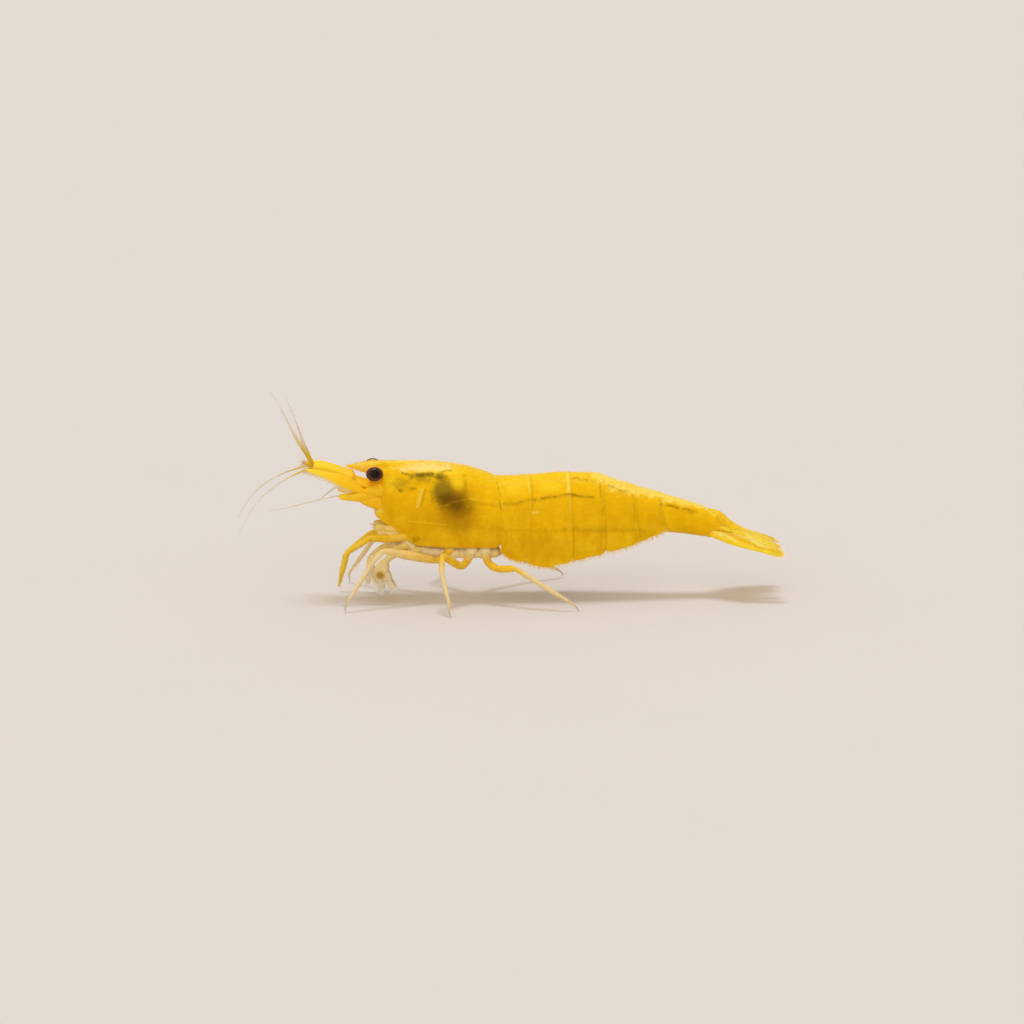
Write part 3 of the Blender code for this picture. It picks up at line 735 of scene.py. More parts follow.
deepLimbMaterial = makePlainMaterial(
    "jawLegs", glow, colour(0.88, 0.52, 0.006), colour(0.84, 0.56, 0.04), colour(0.96, 0.66, 0.09),
    clear=(1.0, 0.80, 0.8, 1.0), hip=colour(0.90, 0.60, 0.08),
    marks=(
        (colour(0.34, 0.17, 0.006), (-8.90, 1.80, 4.04), (0.16, 0.6, 0.09), 0.55),
        (colour(0.34, 0.17, 0.006), (-9.50, 1.95, 3.72), (0.20, 0.6, 0.08), 0.45),
        (colour(0.55, 0.36, 0.012), (-10.80, 2.30, 1.60), (0.40, 0.8, 0.70), 0.35)))
limbMaterial = makePlainMaterial(
    "walkingLegs", glow, colour(0.90, 0.54, 0.010), colour(0.88, 0.72, 0.40),
    colour(0.95, 0.68, 0.14), clear=(1.0, 0.80, 0.6, 1.0), turn=(0.58, 0.82),
    hip=colour(0.92, 0.78, 0.46))
tissueMaterial = makePlainMaterial(
    "clearTissue", glow, colour(0.95, 0.72, 0.22), colour(0.93, 0.83, 0.64),
    colour(0.90, 0.66, 0.20), clear=(0.94, 0.62, 0.3, 1.0),
    marks=(
        (colour(0.93, 0.62, 0.10), (-8.36, 2.12, 1.96), (0.62, 0.8, 0.66), 0.70),
        (colour(0.40, 0.215, 0.006), (-8.36, 2.12, 1.94), (0.36, 0.8, 0.36), 0.90)))
setaMaterial = makePlainMaterial(
    "setae", glow, colour(0.95, 0.76, 0.38), colour(0.93, 0.87, 0.76), colour(0.95, 0.80, 0.50),
    clear=(0.60, 0.24, 0.1, 1.0), turn=(0.1, 0.8))
brushMaterial = makePlainMaterial(
    "brushSetae", glow, colour(0.96, 0.82, 0.50), colour(0.94, 0.89, 0.80),
    colour(0.96, 0.84, 0.58), turn=(0.1, 0.7))
plateSetaMaterial = makePlainMaterial(
    "plateEdgeSetae", glow, colour(0.96, 0.60, 0.02), colour(0.95, 0.84, 0.52),
    colour(0.96, 0.68, 0.08), turn=(0.25, 0.9))
fanSetaMaterial = makePlainMaterial(
    "tailSetae", glow, colour(0.98, 0.62, 0.03), colour(0.93, 0.86, 0.74), colour(0.98, 0.68, 0.10),
    turn=(0.2, 0.8))
clawMaterial = makePlainMaterial(
    "clawTips", glow, colour(0.84, 0.68, 0.38), colour(0.50, 0.42, 0.32), colour(0.70, 0.52, 0.26),
    clear=(0.85, 0.50, 0.1, 1.0))


def makeEyeMaterial():
    finish = {"Roughness": 0.18, "Specular IOR Level": 0.13}
    material, tree, shader = newMaterial("eyeCornea", finish)
    # 1 at the middle of the cornea, 0 at its edge, below 0 on the stalk side
    cap = reading(tree, "around")
    black, brown = colour(0.003, 0.0015, 0.001), colour(0.105, 0.042, 0.027)
    pale = colour(0.80, 0.50, 0.08)
    base = mixColour(tree, remap(tree, cap, 0.68, 0.92), brown, black)
    base = paint(tree, base, mottle(tree, 5.0, 0.2), 0.30, colour(0.030, 0.012, 0.007))
    ring = remap(tree, cap, -0.30, -0.06, 1.0, 0.0)
    base = mixColour(tree, ring, base, pale)
    tree.links.new(base, shader.inputs["Base Color"])
    cells = putNode(tree, "ShaderNodeTexVoronoi", {"Vector": bodyPlace(tree), "Scale": 26.0})
    relief = putNode(tree, "ShaderNodeBump", {
        "Strength": 0.25, "Distance": 0.004 * mm, "Height": cells.outputs["Distance"]})
    tree.links.new(relief.outputs["Normal"], shader.inputs["Normal"])
    return material


eyeMaterial = makeEyeMaterial()
print("materials made:", len(bpy.data.materials))


# outlines of the body, each a list of (x, value)
body = {
    "back": [(-10.45, 8.46), (-9.8, 8.61), (-9.0, 8.74), (-8.2, 8.78), (-7.0, 8.75), (-5.1, 8.72),
             (-3.9, 8.58), (-2.6, 8.31), (-1.6, 7.98), (-0.9, 7.72), (0.8, 7.76), (3.0, 7.90),
             (4.9, 7.88), (6.8, 7.33), (9.3, 6.54), (11.8, 5.75), (12.65, 5.30)],
    "carapaceEdge": [(-8.8, 5.62), (-8.6, 5.42), (-8.35, 5.20), (-7.2, 4.45), (-5.9, 3.60), (-4.0, 3.48),
                     (-0.7, 3.42)],
    "pleuraEdge": [(-1.0, 2.95), (0.0, 2.62), (2.2, 2.20), (4.5, 2.62), (6.6, 3.20), (8.4, 3.75),
                   (9.3, 4.10), (10.5, 4.00), (12.65, 3.68)],
    "halfWidth": [(-8.8, 0.62), (-8.35, 0.95), (-7.9, 1.22), (-7.0, 1.55), (-5.5, 1.85),
                  (-3.0, 2.05), (-0.9, 1.97), (2.0, 1.97), (4.5, 1.80), (6.5, 1.58), (8.5, 1.32),
                  (9.3, 1.17), (11.0, 1.04), (12.65, 0.90)],
    "fleshFloor": [(-8.9, 6.25), (-8.4, 5.6), (-7.2, 4.45), (-5.9, 3.62), (-4.4, 3.12),
                   (-1.2, 3.10), (-0.3, 3.8), (1.0, 4.45), (6.0, 4.75), (9.3, 4.35), (10.5, 4.12),
                   (12.5, 3.85)],
    "segmentEnds": (-0.94, 1.0, 3.45, 5.5, 7.5, 9.15, 12.65),
}
backAt = smoothCurve(body["back"])
carapaceEdgeAt = smoothCurve(body["carapaceEdge"])
pleuraEdgeAt = smoothCurve(body["pleuraEdge"])
halfWidthAt = smoothCurve(body["halfWidth"])
fleshFloorAt = smoothCurve(body["fleshFloor"])


def flankSection(x, t, low, widest=0.55, curl=0.25):
    # (out, z) of the shell at x for t from 0 on the back to 1 at the lower edge
    top, half = backAt(x), halfWidthAt(x)
    tall = top - low
    turnEnd = 0.6
    turn = np.clip(t / turnEnd, 0, 1) * math.pi / 2
    down = np.clip((t - turnEnd) / (1 - turnEnd), 0, 1)
    out = np.sin(turn) ** 0.84 * (1 - curl * down ** 2.2)
    drop = widest * (1 - np.cos(turn) ** 0.92) + (1 - widest) * down
    return half * out, top - tall * drop


carapace = {
    "rostrumRoot": -8.35,
    "rostrumShare": 0.15,  # share of the side, from the crest down, that runs on into the rostrum
    "frontEdge": [(0.0, -8.35), (0.15, -8.35), (0.21, -8.22), (0.29, -8.10), (0.38, -8.08),
                  (0.455, -8.18), (0.487, -8.50), (0.50, -8.68), (0.513, -8.45), (0.55, -8.26),
                  (0.66, -8.22), (0.76, -8.30), (0.86, -8.42), (0.92, -8.58), (0.965, -8.62),
                  (1.0, -8.30)],
    "rearEdge": [(0.0, -0.86), (0.35, -0.72), (0.7, -0.55), (0.9, -0.60), (1.0, -1.05)],
    "bladeFloor": [(-10.45, 8.43), (-10.1, 8.33), (-9.8, 8.22), (-9.4, 8.08), (-9.0, 7.98),
                   (-8.35, 7.92), (-7.0, 8.0)],
    "bladeHalf": [(-10.45, 0.03), (-9.8, 0.10), (-9.0, 0.17), (-8.35, 0.26), (-7.3, 0.3)],
    "thick": 0.24,
    "thinEdge": 0.045,
    "columns": 118,
    "bladeColumns": 34,
    # (start, end, width, depth) as (x, z) places; a negative depth is a ridge
    "grooves": (((-5.2, 8.3), (-6.3, 7.0), 0.16, 0.030), ((-6.3, 7.0), (-7.2, 6.2), 0.16, 0.026),
                ((-6.3, 7.0), (-3.0, 6.9), 0.14, 0.014), ((-7.2, 5.1), (-2.0, 4.6), 0.12, 0.018),
                ((-8.1, 6.95), (-7.0, 6.75), 0.10, -0.022)),
    # how many teeth, x of the first, space between them, lean and radii of each
    "crestTeeth": (17, -10.15, 0.19, (-0.13, 0, 0.085), (0.035, 0.022, 0.004)),
    "lowerTeeth": (4, -9.95, 0.28, (-0.11, 0, -0.07), (0.03, 0.02, 0.004)),
    "toothSink": 0.03,
}


def carapaceSurface(x, t, side):
    look = carapace
    share = look["rostrumShare"]
    bladeFloorAt, bladeHalfAt = smoothCurve(look["bladeFloor"]), smoothCurve(look["bladeHalf"])

    def rostrumAt(x, r):
        out = bladeHalfAt(x) * np.sin(math.pi * np.clip(r, 0, 1) ** 0.8) ** 0.8 + 0.02 * r
        return out, backAt(x) - (backAt(x) - bladeFloorAt(x)) * r

    towards = smoothStep(-9.15, -7.2, x)
    low = carapaceEdgeAt(x)
    bodyOut, bodyZ = flankSection(x, t, low)
    bladeOut, bladeZ = rostrumAt(x, t / share)
    seamOut, seamZ = flankSection(x, np.full_like(x, share), low)
    rootOut, rootZ = rostrumAt(x, np.ones_like(x))
    onBlade = t <= share
    fade = np.exp(-(np.clip(t - share, 0, 1) / 0.085) ** 1.3) * (1 - towards)
    out = np.where(onBlade, bladeOut * (1 - towards) + bodyOut * towards,
                   bodyOut + (rootOut - seamOut) * fade)
    z = np.where(onBlade, bladeZ * (1 - towards) + bodyZ * towards,
                 bodyZ + (rootZ - seamZ) * fade)
    return np.stack([x, side * out, z], axis=-1)


def segmentDistance(x, z, start, end):
    ax, az = start
    bx, bz = end
    run = np.array([bx - ax, bz - az])
    share = np.clip(((x - ax) * run[0] + (z - az) * run[1]) / run.dot(run), 0, 1)
    return np.hypot(x - ax - share * run[0], z - az - share * run[1])


def carapaceRelief(points, edgeAway):
    # outward height over the plain form: rolled edges, grooves and a fine unevenness
    x, z = points[..., 0], points[..., 2]
    height = 0.018 * bump(edgeAway, 0.10, 0.055) - 0.012 * bump(edgeAway, 0.24, 0.07)
    for start, end, width, depth in carapace["grooves"]:
        height -= depth * bump(segmentDistance(x, z, start, end), 0, width)
    height += grain(points, 1.1, 0.018) + grain(points, 0.22, 0.004)
    return height


def makeCarapace():
    look = carapace
    share = look["rostrumShare"]
    v = bothSides(joinRuns(5, (0, share, 9), (share, 0.45, 19), (0.45, 0.55, 15),
                           (0.55, 0.96, 25), (0.96, 1, 5)))
    u = joinRuns(6, (0, 0.03, 6), (0.03, 0.96, look["columns"]), (0.96, 1, 7))
    t = np.abs(v)[:, None] * np.ones_like(u)[None, :]
    side = np.where(v < 0, -1, 1)[:, None]
    front = smoothCurve(look["frontEdge"])(np.abs(v))[:, None]
    rear = smoothCurve(look["rearEdge"])(np.abs(v))[:, None]
    x = front + (rear - front) * u[None, :]
    points = carapaceSurface(x, t, side)
    tall = backAt(x) - carapaceEdgeAt(x)
    frontAway = np.where(t > share, (x - front), 9.0)
    away = np.minimum(np.minimum(frontAway, rear - x), (1 - t) * tall * 1.1)
    normals = gridNormals(points)
    points = points + normals * carapaceRelief(points, away)[..., None]
    thick = look["thinEdge"] + (look["thick"] - look["thinEdge"]) * smoothStep(0.0, 0.7, away)
    inner = points - normals * thick[..., None]
    shape = newShape()
    along = (x + 9.0) / 9.0
    bladeRows = [r for r in range(len(v) - 1)
                 if abs(v[r]) <= share + 1e-6 and abs(v[r + 1]) <= share + 1e-6]
    addShell(shape, points, inner, along, t, away, skipFront=bladeRows)

    # the rostrum carries the same rows on to its point
    rows = [r for r in range(len(v)) if abs(v[r]) <= share + 1e-6]
    steps = np.linspace(0, 1, look["bladeColumns"]) ** 0.85
    xBlade = body["back"][0][0] + (look["rostrumRoot"] - body["back"][0][0]) * steps
    tBlade = np.abs(v[rows])[:, None] * np.ones_like(xBlade)[None, :]
    blade = carapaceSurface(np.ones((len(rows), 1)) * xBlade[None, :], tBlade,
                            np.where(v[rows] < 0, -1, 1)[:, None])
    blade[:, -1] = points[rows, 0]
    zeros = np.zeros_like(tBlade)
    loops = addGrid(shape, blade, zeros, tBlade, zeros + 1.0)
    joinEdges(shape, loops[0], loops[-1])
    # small teeth along the crest and under the tip
    floorAt = smoothCurve(look["bladeFloor"])
    for teeth, edgeAt, way in (("crestTeeth", backAt, -1), ("lowerTeeth", floorAt, 1)):
        count, first, apart, lean, radii = look[teeth]
        for k in range(count):
            place = first + k * apart
            root = Vector((place, 0, float(edgeAt(place)) + way * look["toothSink"]))
            tip = root + Vector(lean)
            addTube(shape, [root + Vector((0.05, 0, 0)), root.lerp(tip, 0.5), tip], radii, 6,
                    (0.0, 0.2))
    makePiece("carapaceShell", shape, shellMaterial, ("carapace", "rostrum"),
              weld=0.002, sharp=40)


makeCarapace()

abdomen = {
    "columns": 44,
    "thick": 0.15,
    "thinEdge": 0.025,
    "edgeSetae": 120,
    "setaLengths": (0.10, 0.34),
    "frill": 0.13,  # how far the lower edges wander upwards
    "tuckedUnder": 0.30,  # how far a plate runs on under the one in front
    "overlap": 0.16,  # how far it runs over the one behind
    # for each plate: how much its lower front and rear corners rise, and their roundness
    "corners": [(0.50, 0.10, 3.5), (0.30, 0.24, 5.0), (0.30, 0.24, 5.0), (0.28, 0.26, 4.5),
                (0.26, 0.34, 4.0)],
}


def plateProud(number, p, t):
    # height of a plate over the plain form where plates overlap
    flank = smoothStep(0.42, 0.62, t)
    rear = 0.035 * smoothStep(0.62, 1.0, p)
    front = -0.065 * (1 - smoothStep(0.0, 0.22, p))
    if number == 1:
        rear = rear * (1 - flank) - 0.05 * flank * smoothStep(0.75, 1.0, p)
    if number == 2:
        front = front * (1 - flank) + 0.035 * flank * (1 - smoothStep(0.0, 0.3, p))
    return front + rear


def makeAbdomenPlate(number):
    look = abdomen
    ends = body["segmentEnds"]
    start, end = ends[number - 1], ends[number]
    v = bothSides(joinRuns(5, (0, 0.6, 26), (0.6, 0.94, 16), (0.94, 1, 6)))
    p = joinRuns(6, (0, 0.05, 5), (0.05, 0.95, look["columns"]), (0.95, 1, 6))[None, :]
    t = np.abs(v)[:, None] * np.ones_like(p)
    side = np.where(v < 0, -1, 1)[:, None]
    flank = smoothStep(0.45, 0.8, t)
    tucked = look["tuckedUnder"] * (1 - flank) - 0.15 * flank
    if number == 2:
        tucked = look["tuckedUnder"] * (1 - flank) + 0.42 * flank
    lap = look["overlap"] * (1 + 0.6 * flank)
    if number == 1:
        lap = look["overlap"] * (1 - flank)
    if number in (4, 5):
        lap = lap + 0.22 * smoothStep(0.6, 1.0, t)
    x = start - tucked + (end + lap - start + tucked) * p
    frontLift, rearLift, power = look["corners"][number - 1]
    lift = np.where(p < 0.5, frontLift, rearLift) * np.abs(2 * p - 1) ** power
    # the lower edges wander with the noise along two lines far from the body, one for each side
    edgeLine = np.stack([x, 40.0 + side * np.ones_like(x), 0.0 * x], axis=-1)
    lift = lift + np.clip(grain(edgeLine, 0.9, 1.6) + 0.35, 0.0, 1.0) * look["frill"]
    low = pleuraEdgeAt(x) + lift
    out, z = flankSection(x, t, low, widest=0.52, curl=0.13)
    points = np.stack([x, side * out, z], axis=-1)
    tall = backAt(x) - low
    away = np.minimum(np.minimum(x - x[:, :1], x[:, -1:] - x), (1 - t) * tall)
    normals = gridNormals(points)
    height = plateProud(number, p, t)
    height = height + 0.014 * bump(away, 0.07, 0.045) - 0.010 * bump(away, 0.19, 0.06)
    hinge = x - start
    height = height - 0.016 * bump(hinge, 0.30, 0.07) * (1 - smoothStep(0.6, 0.8, t))
    height = height + grain(points, 1.0, 0.016) + grain(points, 0.2, 0.004)
    # soft upright folds on the sides
    height = height + grain(points * np.array((1.0, 0.3, 0.25)), 1.3, 0.055) * smoothStep(0.35, 0.7, t)
    points = points + normals * height[..., None]
    thick = look["thinEdge"] + (look["thick"] - look["thinEdge"]) * smoothStep(0.0, 0.55, away)
    inner = points - normals * thick[..., None]
    shape = newShape()
    addShell(shape, points, inner, x / 12.0, t, away)
    makePiece(f"abdomenPlate{number}", shape, shellMaterial,
              (f"abdomen_{number}",), sharp=40)
    # setae along the lower edges
    hairs = newShape()
    chance = random.Random(70 + number)
    for row, out in ((0, -1), (-1, 1)):
        edge = points[row]
        for k in range(look["edgeSetae"]):
            c = chance.uniform(1, edge.shape[0] - 2)
            spot = edge[int(c)] * (1 - c % 1) + edge[int(c) + 1] * (c % 1)
            lean = (c / edge.shape[0] - 0.35) * 1.6 + chance.uniform(-0.2, 0.35)
            way = Vector((lean, out * chance.uniform(-0.1, 0.25), -1.0))
            addSeta(hairs, spot, way, chance.uniform(*look["setaLengths"]), 0.010, (0.05, 0, 0),
                    (0.1 + 0.8 * c / edge.shape[0], 0.25 if out < 0 else 0.75))
    makePiece(f"plateSetae{number}", hairs, plateSetaMaterial, hairy=True)


for number in range(1, 6):
    makeAbdomenPlate(number)


def roundSection(x, turn, low, inset=0.0, bottomFull=0.8):
    # closed section of the body at x; turn 0 is the back
    top, half = backAt(x) - inset, halfWidthAt(x) - inset
    low = low + inset
    middle = top - 0.52 * (top - low)
    sine, cosine = np.sin(turn), np.cos(turn)
    out = half * np.sign(sine) * np.abs(sine) ** 0.84
    z = np.where(cosine > 0, middle + (top - middle) * np.abs(cosine) ** 0.92,
                 middle - (middle - low) * np.abs(cosine) ** bottomFull)
    return out, z


def makeSixthSegment():
    start, end = body["segmentEnds"][5] - 0.3, body["segmentEnds"][6]
    count = 96
    turn = np.linspace(0, 2 * math.pi, count + 1)[:-1][:, None]
    p = joinRuns(6, (0, 0.92, 60), (0.92, 1, 9))[None, :]
    # the rear edge reaches back above, and in a point on each side over the tail blades
    rear = end + 0.10 + 0.28 * bump(np.abs(np.sin(turn)), 1.0, 0.10) * (np.cos(turn) < 0.35) \
        - 0.30 * smoothStep(0.5, -1.0, np.cos(turn))
    x = start + (rear - start) * p
    low = pleuraEdgeAt(x)
    out, z = roundSection(x, turn, low)
    points = np.stack([x, out, z], axis=-1)
    closedPoints = np.concatenate([points[-1:], points, points[:1]], axis=0)
    normals = gridNormals(closedPoints)[1:-1]
    away = (rear - x) * np.ones_like(z)
    height = -0.07 * (1 - smoothStep(0, 0.16, p)) + 0.025 * bump(away, 0.08, 0.05)
    height = height - 0.016 * bump(x - start, 0.62, 0.07)
    height = height + grain(points, 0.9, 0.016) + grain(points, 0.2, 0.004)
    points = points + normals * height[..., None]
    inner = points - normals * (0.04 + 0.12 * smoothStep(0, 0.5, away))[..., None]
    around = np.arccos(np.clip(np.cos(turn), -1, 1)) / math.pi * np.ones_like(x)
    shape = newShape()
    loops = []
    for c in range(p.shape[1]):
        loops.append([addPoint(shape, points[r, c], x[r, c] / 12, around[r, c], away[r, c])
                      for r in range(count)])
    for c in reversed(range(p.shape[1])):
        loops.append([addPoint(shape, inner[r, c], x[r, c] / 12, around[r, c], away[r, c])
                      for r in range(count)])
    loops.append(loops[0])
    addLoops(shape, loops)
    makePiece("abdomenPlate6", shape, shellMaterial, ("abdomen_6",), sharp=40)


makeSixthSegment()


flesh = {
    "gap": 0.17,  # how far the skin lies inside the solids
    "plateGap": 0.30,  # and inside the outer face of the plates
    "around": 72, "steps": 150, "ridge": 0.05, "ridgeEvery": 0.95,
}


def plateHalfAt(x, z):
    # half width of the shell at x and z, 9 where there is no shell
    t = np.linspace(0, 1, 90)
    here = np.full_like(t, x)
    if x < body["segmentEnds"][0]:
        out, height = flankSection(here, t, float(carapaceEdgeAt(x)))
    else:
        out, height = flankSection(here, t, float(pleuraEdgeAt(x)) + 0.2, 0.52, 0.13)
    found = np.interp(z, height[::-1], out[::-1], left=9.0)
    return np.where(z > height[0], 0.3, found)


def makeFlesh():
    # one unbroken skin under all the plates, bare below between the legs and the swimmerets
    look = flesh
    count = look["around"]
    turn = np.linspace(0, 2 * math.pi, count + 1)[:-1]
    shape = newShape()
    loops = []
    for x in np.linspace(-8.72, 12.55, look["steps"]):
        out, z = roundSection(np.full(count, x), turn, fleshFloorAt(x) - 0.17, 0.17, 0.62)
        z = np.minimum(z, float(backAt(x)) - look["plateGap"])
        limit = np.maximum(plateHalfAt(x, z) - look["plateGap"], 0.05)
        if x < 9.3:
            out = np.sign(out) * np.minimum(np.abs(out), limit)
        close = min((x + 8.95) / 0.6, (12.75 - x) / 0.45, 1.0)
        squeeze = math.sqrt(max(1 - (1 - close) ** 2, 0.0))
        middle = (float(backAt(x)) + float(fleshFloorAt(x))) / 2 - (0.45 if x < -8 else 0)
        under = np.maximum(-np.cos(turn), 0)
        spots = np.stack([np.full(count, x), out * squeeze * (1 - 0.12 * under),
                          middle + (z - middle) * squeeze], axis=-1)
        spots[:, 2] += look["ridge"] * math.cos(2 * math.pi * x / look["ridgeEvery"]) * under ** 3
        loops.append([addPoint(shape, spots[k], under[k], 0.0) for k in range(count)])
    addLoops(shape, loops)
    closeEnds(shape, loops)
    makePiece("bodyFlesh", shape, fleshMaterial)


makeFlesh()
print("body made")


eyes = {
    "facets": 1500, "facetHeight": 0.007, "rings": 90, "segments": 140,
    "lookOut": (0.04, 0.97, 0.19),  # the middle of the cornea
    "stalk": ((-8.55, 0.12, 7.75), (-8.72, 0.45, 7.92), (-8.72, 0.80, 8.05), (-8.70, 1.22, 8.15)),
    "stalkRadii": [(0, 0.20), (0.35, 0.22), (0.62, 0.30), (0.85, 0.38), (1, 0.33)],
    "stalkSteps": 22,
}


def makeEyes():
    look = eyes
    golden = math.pi * (3 - math.sqrt(5))
    lattice = kdtree.KDTree(look["facets"])
    for i in range(look["facets"]):
        height = 1 - 2 * (i + 0.5) / look["facets"]
        ring = math.sqrt(1 - height * height)
        lattice.insert((ring * math.cos(golden * i), height, ring * math.sin(golden * i)), i)
    lattice.balance()
    spacing = math.sqrt(4 * math.pi / look["facets"]) / 2
    for name, side in sides.items():
        centre, outward = outTo((eyePlace["centre"], look["lookOut"]), side)
        radii = eyePlace["radii"]
        outward.normalize()
        shape = newShape()
        loops = []
        for ring in range(1, look["rings"]):
            tilt = math.pi * ring / look["rings"]
            loop = []
            for k in range(look["segments"]):
                turn = 2 * math.pi * k / look["segments"]
                ray = Vector((math.sin(tilt) * math.cos(turn), side * math.cos(tilt),
                              math.sin(tilt) * math.sin(turn)))
                cap = ray.dot(outward)
                far = lattice.find((ray.x, ray.y * side, ray.z))[2] / spacing
                facet = look["facetHeight"] * (1 - min(far, 1.2) ** 2) * float(smoothStep(-0.15, 0.05, cap))
                # the cornea stands a little proud of the stalk
                swell = 1.0 - 0.06 * float(smoothStep(0.0, -0.5, cap))
                spot = centre + Vector([ray[i] * (radii[i] * swell * 0.985 + facet)
                                        for i in range(3)])
                loop.append(addPoint(shape, spot, 0.0, cap, 1.0))
            loops.append(loop)
        addLoops(shape, loops)
        closeEnds(shape, loops)
        makePiece(f"eyeball_{name}", shape, eyeMaterial, (f"eye_{name}",), sharp=80)

        steps = look["stalkSteps"]
        stalk = blendAlong(outTo(look["stalk"], side), steps)
        radiusAt = smoothCurve(look["stalkRadii"])
        widths = [float(radiusAt(i / (steps - 1))) for i in range(steps)]
        shape = newShape()
        addTube(shape, stalk, widths, 24, across=(1, 0, 0))
        makePiece(f"eyeStalk_{name}", shape, frontMaterial,
                  (f"eyestalk_{name}",))


makeEyes()
print("eyes made")


def addPodomere(shape, start, end, radii, reach, flat=1.0, across=None):
    # one hard segment of a limb: narrow at its root, flared and rounded at its far end
    start, end = Vector(start), Vector(end)
    steps, ringSides = 14, 14
    path, widths = [], []
    profile = smoothCurve([(0, radii[0]), (0.5, radii[1]), (0.9, radii[2]), (1.0, radii[2])])
    for i in range(steps + 1):
        s = i / steps
        s = 0.5 - 0.5 * math.cos(math.pi * s)
        path.append(start.lerp(end, s))
        rounding = min(1.0, math.sqrt(max(0.0, 1 - (1 - min(s / 0.06, 1)) ** 2)) * 0.55 + 0.45)
        closing = math.sqrt(max(0.02, 1 - max(0.0, (s - 0.94) / 0.06) ** 2))
        widths.append(float(profile(s)) * rounding * closing)
    addTube(shape, path, widths, ringSides, reach, flat, across)


def roundedPath(corners, count, smooth=0.18):
    # straight runs between the joints with softened corners; also the share of the way of each joint
    corners = [Vector(corner) for corner in corners]
    dense, marks = [corners[0]], [0]
    for i in range(1, len(corners) - 1):
        before, here, after = corners[i - 1], corners[i], corners[i + 1]
        back = min(smooth, (before - here).length * 0.45)
        on = min(smooth, (after - here).length * 0.45)
        a = here + (before - here).normalized() * back
        b = here + (after - here).normalized() * on
        for k in range(9):
            t = k / 8
            dense.append(a * (1 - t) ** 2 + here * 2 * t * (1 - t) + b * t * t)
        marks.append(len(dense) - 5)
    dense.append(corners[-1])
    marks.append(len(dense) - 1)
    lengths = [0.0]
    for one, two in zip(dense, dense[1:]):
        lengths.append(lengths[-1] + (two - one).length)
    total = lengths[-1]
    made = []
    for k in range(count):
        at = total * k / (count - 1)
        i = min(max(1, sum(1 for length in lengths if length < at)), len(dense) - 1)
        share = (at - lengths[i - 1]) / max(lengths[i] - lengths[i - 1], 1e-9)
        made.append(dense[i - 1].lerp(dense[i], min(max(share, 0), 1)))
    return made, [lengths[mark] / total for mark in marks], total


def addLimb(shape, joints, radii, reach=(0.0, 1.0), ringSides=18, smooth=0.20, dip=0.12, flat=1.0,
            across=None, step=0.05):
    # one unbroken limb; radii holds (root, middle, end) for each segment, dip is the waist at a joint
    length = sum((Vector(b) - Vector(a)).length for a, b in zip(joints, joints[1:]))
    path, places, total = roundedPath(joints, max(12, int(length / step)), smooth)
    stations, levels = [], []
    for i, (first, middle, end) in enumerate(radii):
        here, there = places[i], places[i + 1]
        span = there - here
        stations += [(here + 0.10 * span, first), (here + 0.5 * span, middle),
                     (here + 0.88 * span, end)]
        levels.append((here, i / len(radii)))
    stations = [(0.0, radii[0][0])] + stations + [(1.0, radii[-1][2])]
    levels.append((1.0, 1.0))
    radiusAt, levelAt = smoothCurve(stations), smoothCurve(levels)
    widths, along = [], []
    for i in range(len(path)):
        s = i / (len(path) - 1)
        width = float(radiusAt(s))
        for place in places[1:-1]:
            width *= 1 - dip * math.exp(-((s - place) * total / 0.07) ** 2)
        ends = min(s * total / radii[0][0], (1 - s) * total / radii[-1][2], 1.0)
        widths.append(width * math.sqrt(max(1 - (1 - ends) ** 2, 0.02)))
        along.append(reach[0] + (reach[1] - reach[0]) * float(levelAt(s)))
    addTube(shape, path, widths, ringSides, reach, flat, across, places=along)


def addFeeler(shape, line, radii, rings, reach=(0.0, 1.0), ringSides=8):
    # long thread of many short rings, each a little wider at its far end
    count = rings * 3 + 1
    path = blendAlong(line, count)
    radiusAt = smoothCurve(radii)
    widths = []
    for i in range(count):
        s = i / (count - 1)
        widths.append(float(radiusAt(s)) * (0.93 + 0.07 * (i % 3)))
    widths[-1] *= 0.4
    addTube(shape, path, widths, ringSides, reach)


antennule = {
    "stalk": ((-8.15, 0.42, 6.90), (-10.04, 0.45, 7.60), (-11.30, 0.46, 8.28), (-12.58, 0.46, 8.58)),
    "stalkRadii": ((0.38, 0.31, 0.26), (0.53, 0.38, 0.32), (0.30, 0.29, 0.23)),
    "outer": {
        "left": ((-12.45, 0.52, 8.55), (-12.70, 0.60, 9.12), (-13.05, 0.95, 10.10),
                 (-13.40, 1.40, 11.20), (-13.80, 1.90, 12.30), (-14.13, 2.13, 13.15)),
        "right": ((-12.48, 0.52, 8.55), (-12.80, 0.60, 9.12), (-13.45, 0.95, 10.10),
                  (-14.05, 1.40, 11.20), (-14.60, 1.90, 12.20), (-15.12, 2.13, 12.90)),
    },
    "outerRadii": [(0, 0.16), (0.08, 0.155), (0.30, 0.135), (0.46, 0.095), (0.58, 0.048), (1, 0.018)],
    "inner": ((-12.40, 0.50, 8.42), (-13.02, 0.62, 8.30), (-14.30, 1.15, 7.78), (-15.55, 1.70, 6.95),
              (-16.45, 2.10, 5.90), (-17.08, 2.29, 4.74)),
    "innerRadii": [(0, 0.12), (0.1, 0.085), (0.35, 0.050), (1, 0.016)],
    # sharp plate beside the first segment
    "spine": ((-8.6, 0.80, 7.15), (-9.4, 0.84, 7.40), (-10.35, 0.72, 7.85)),
    "spineSteps": 12,
}


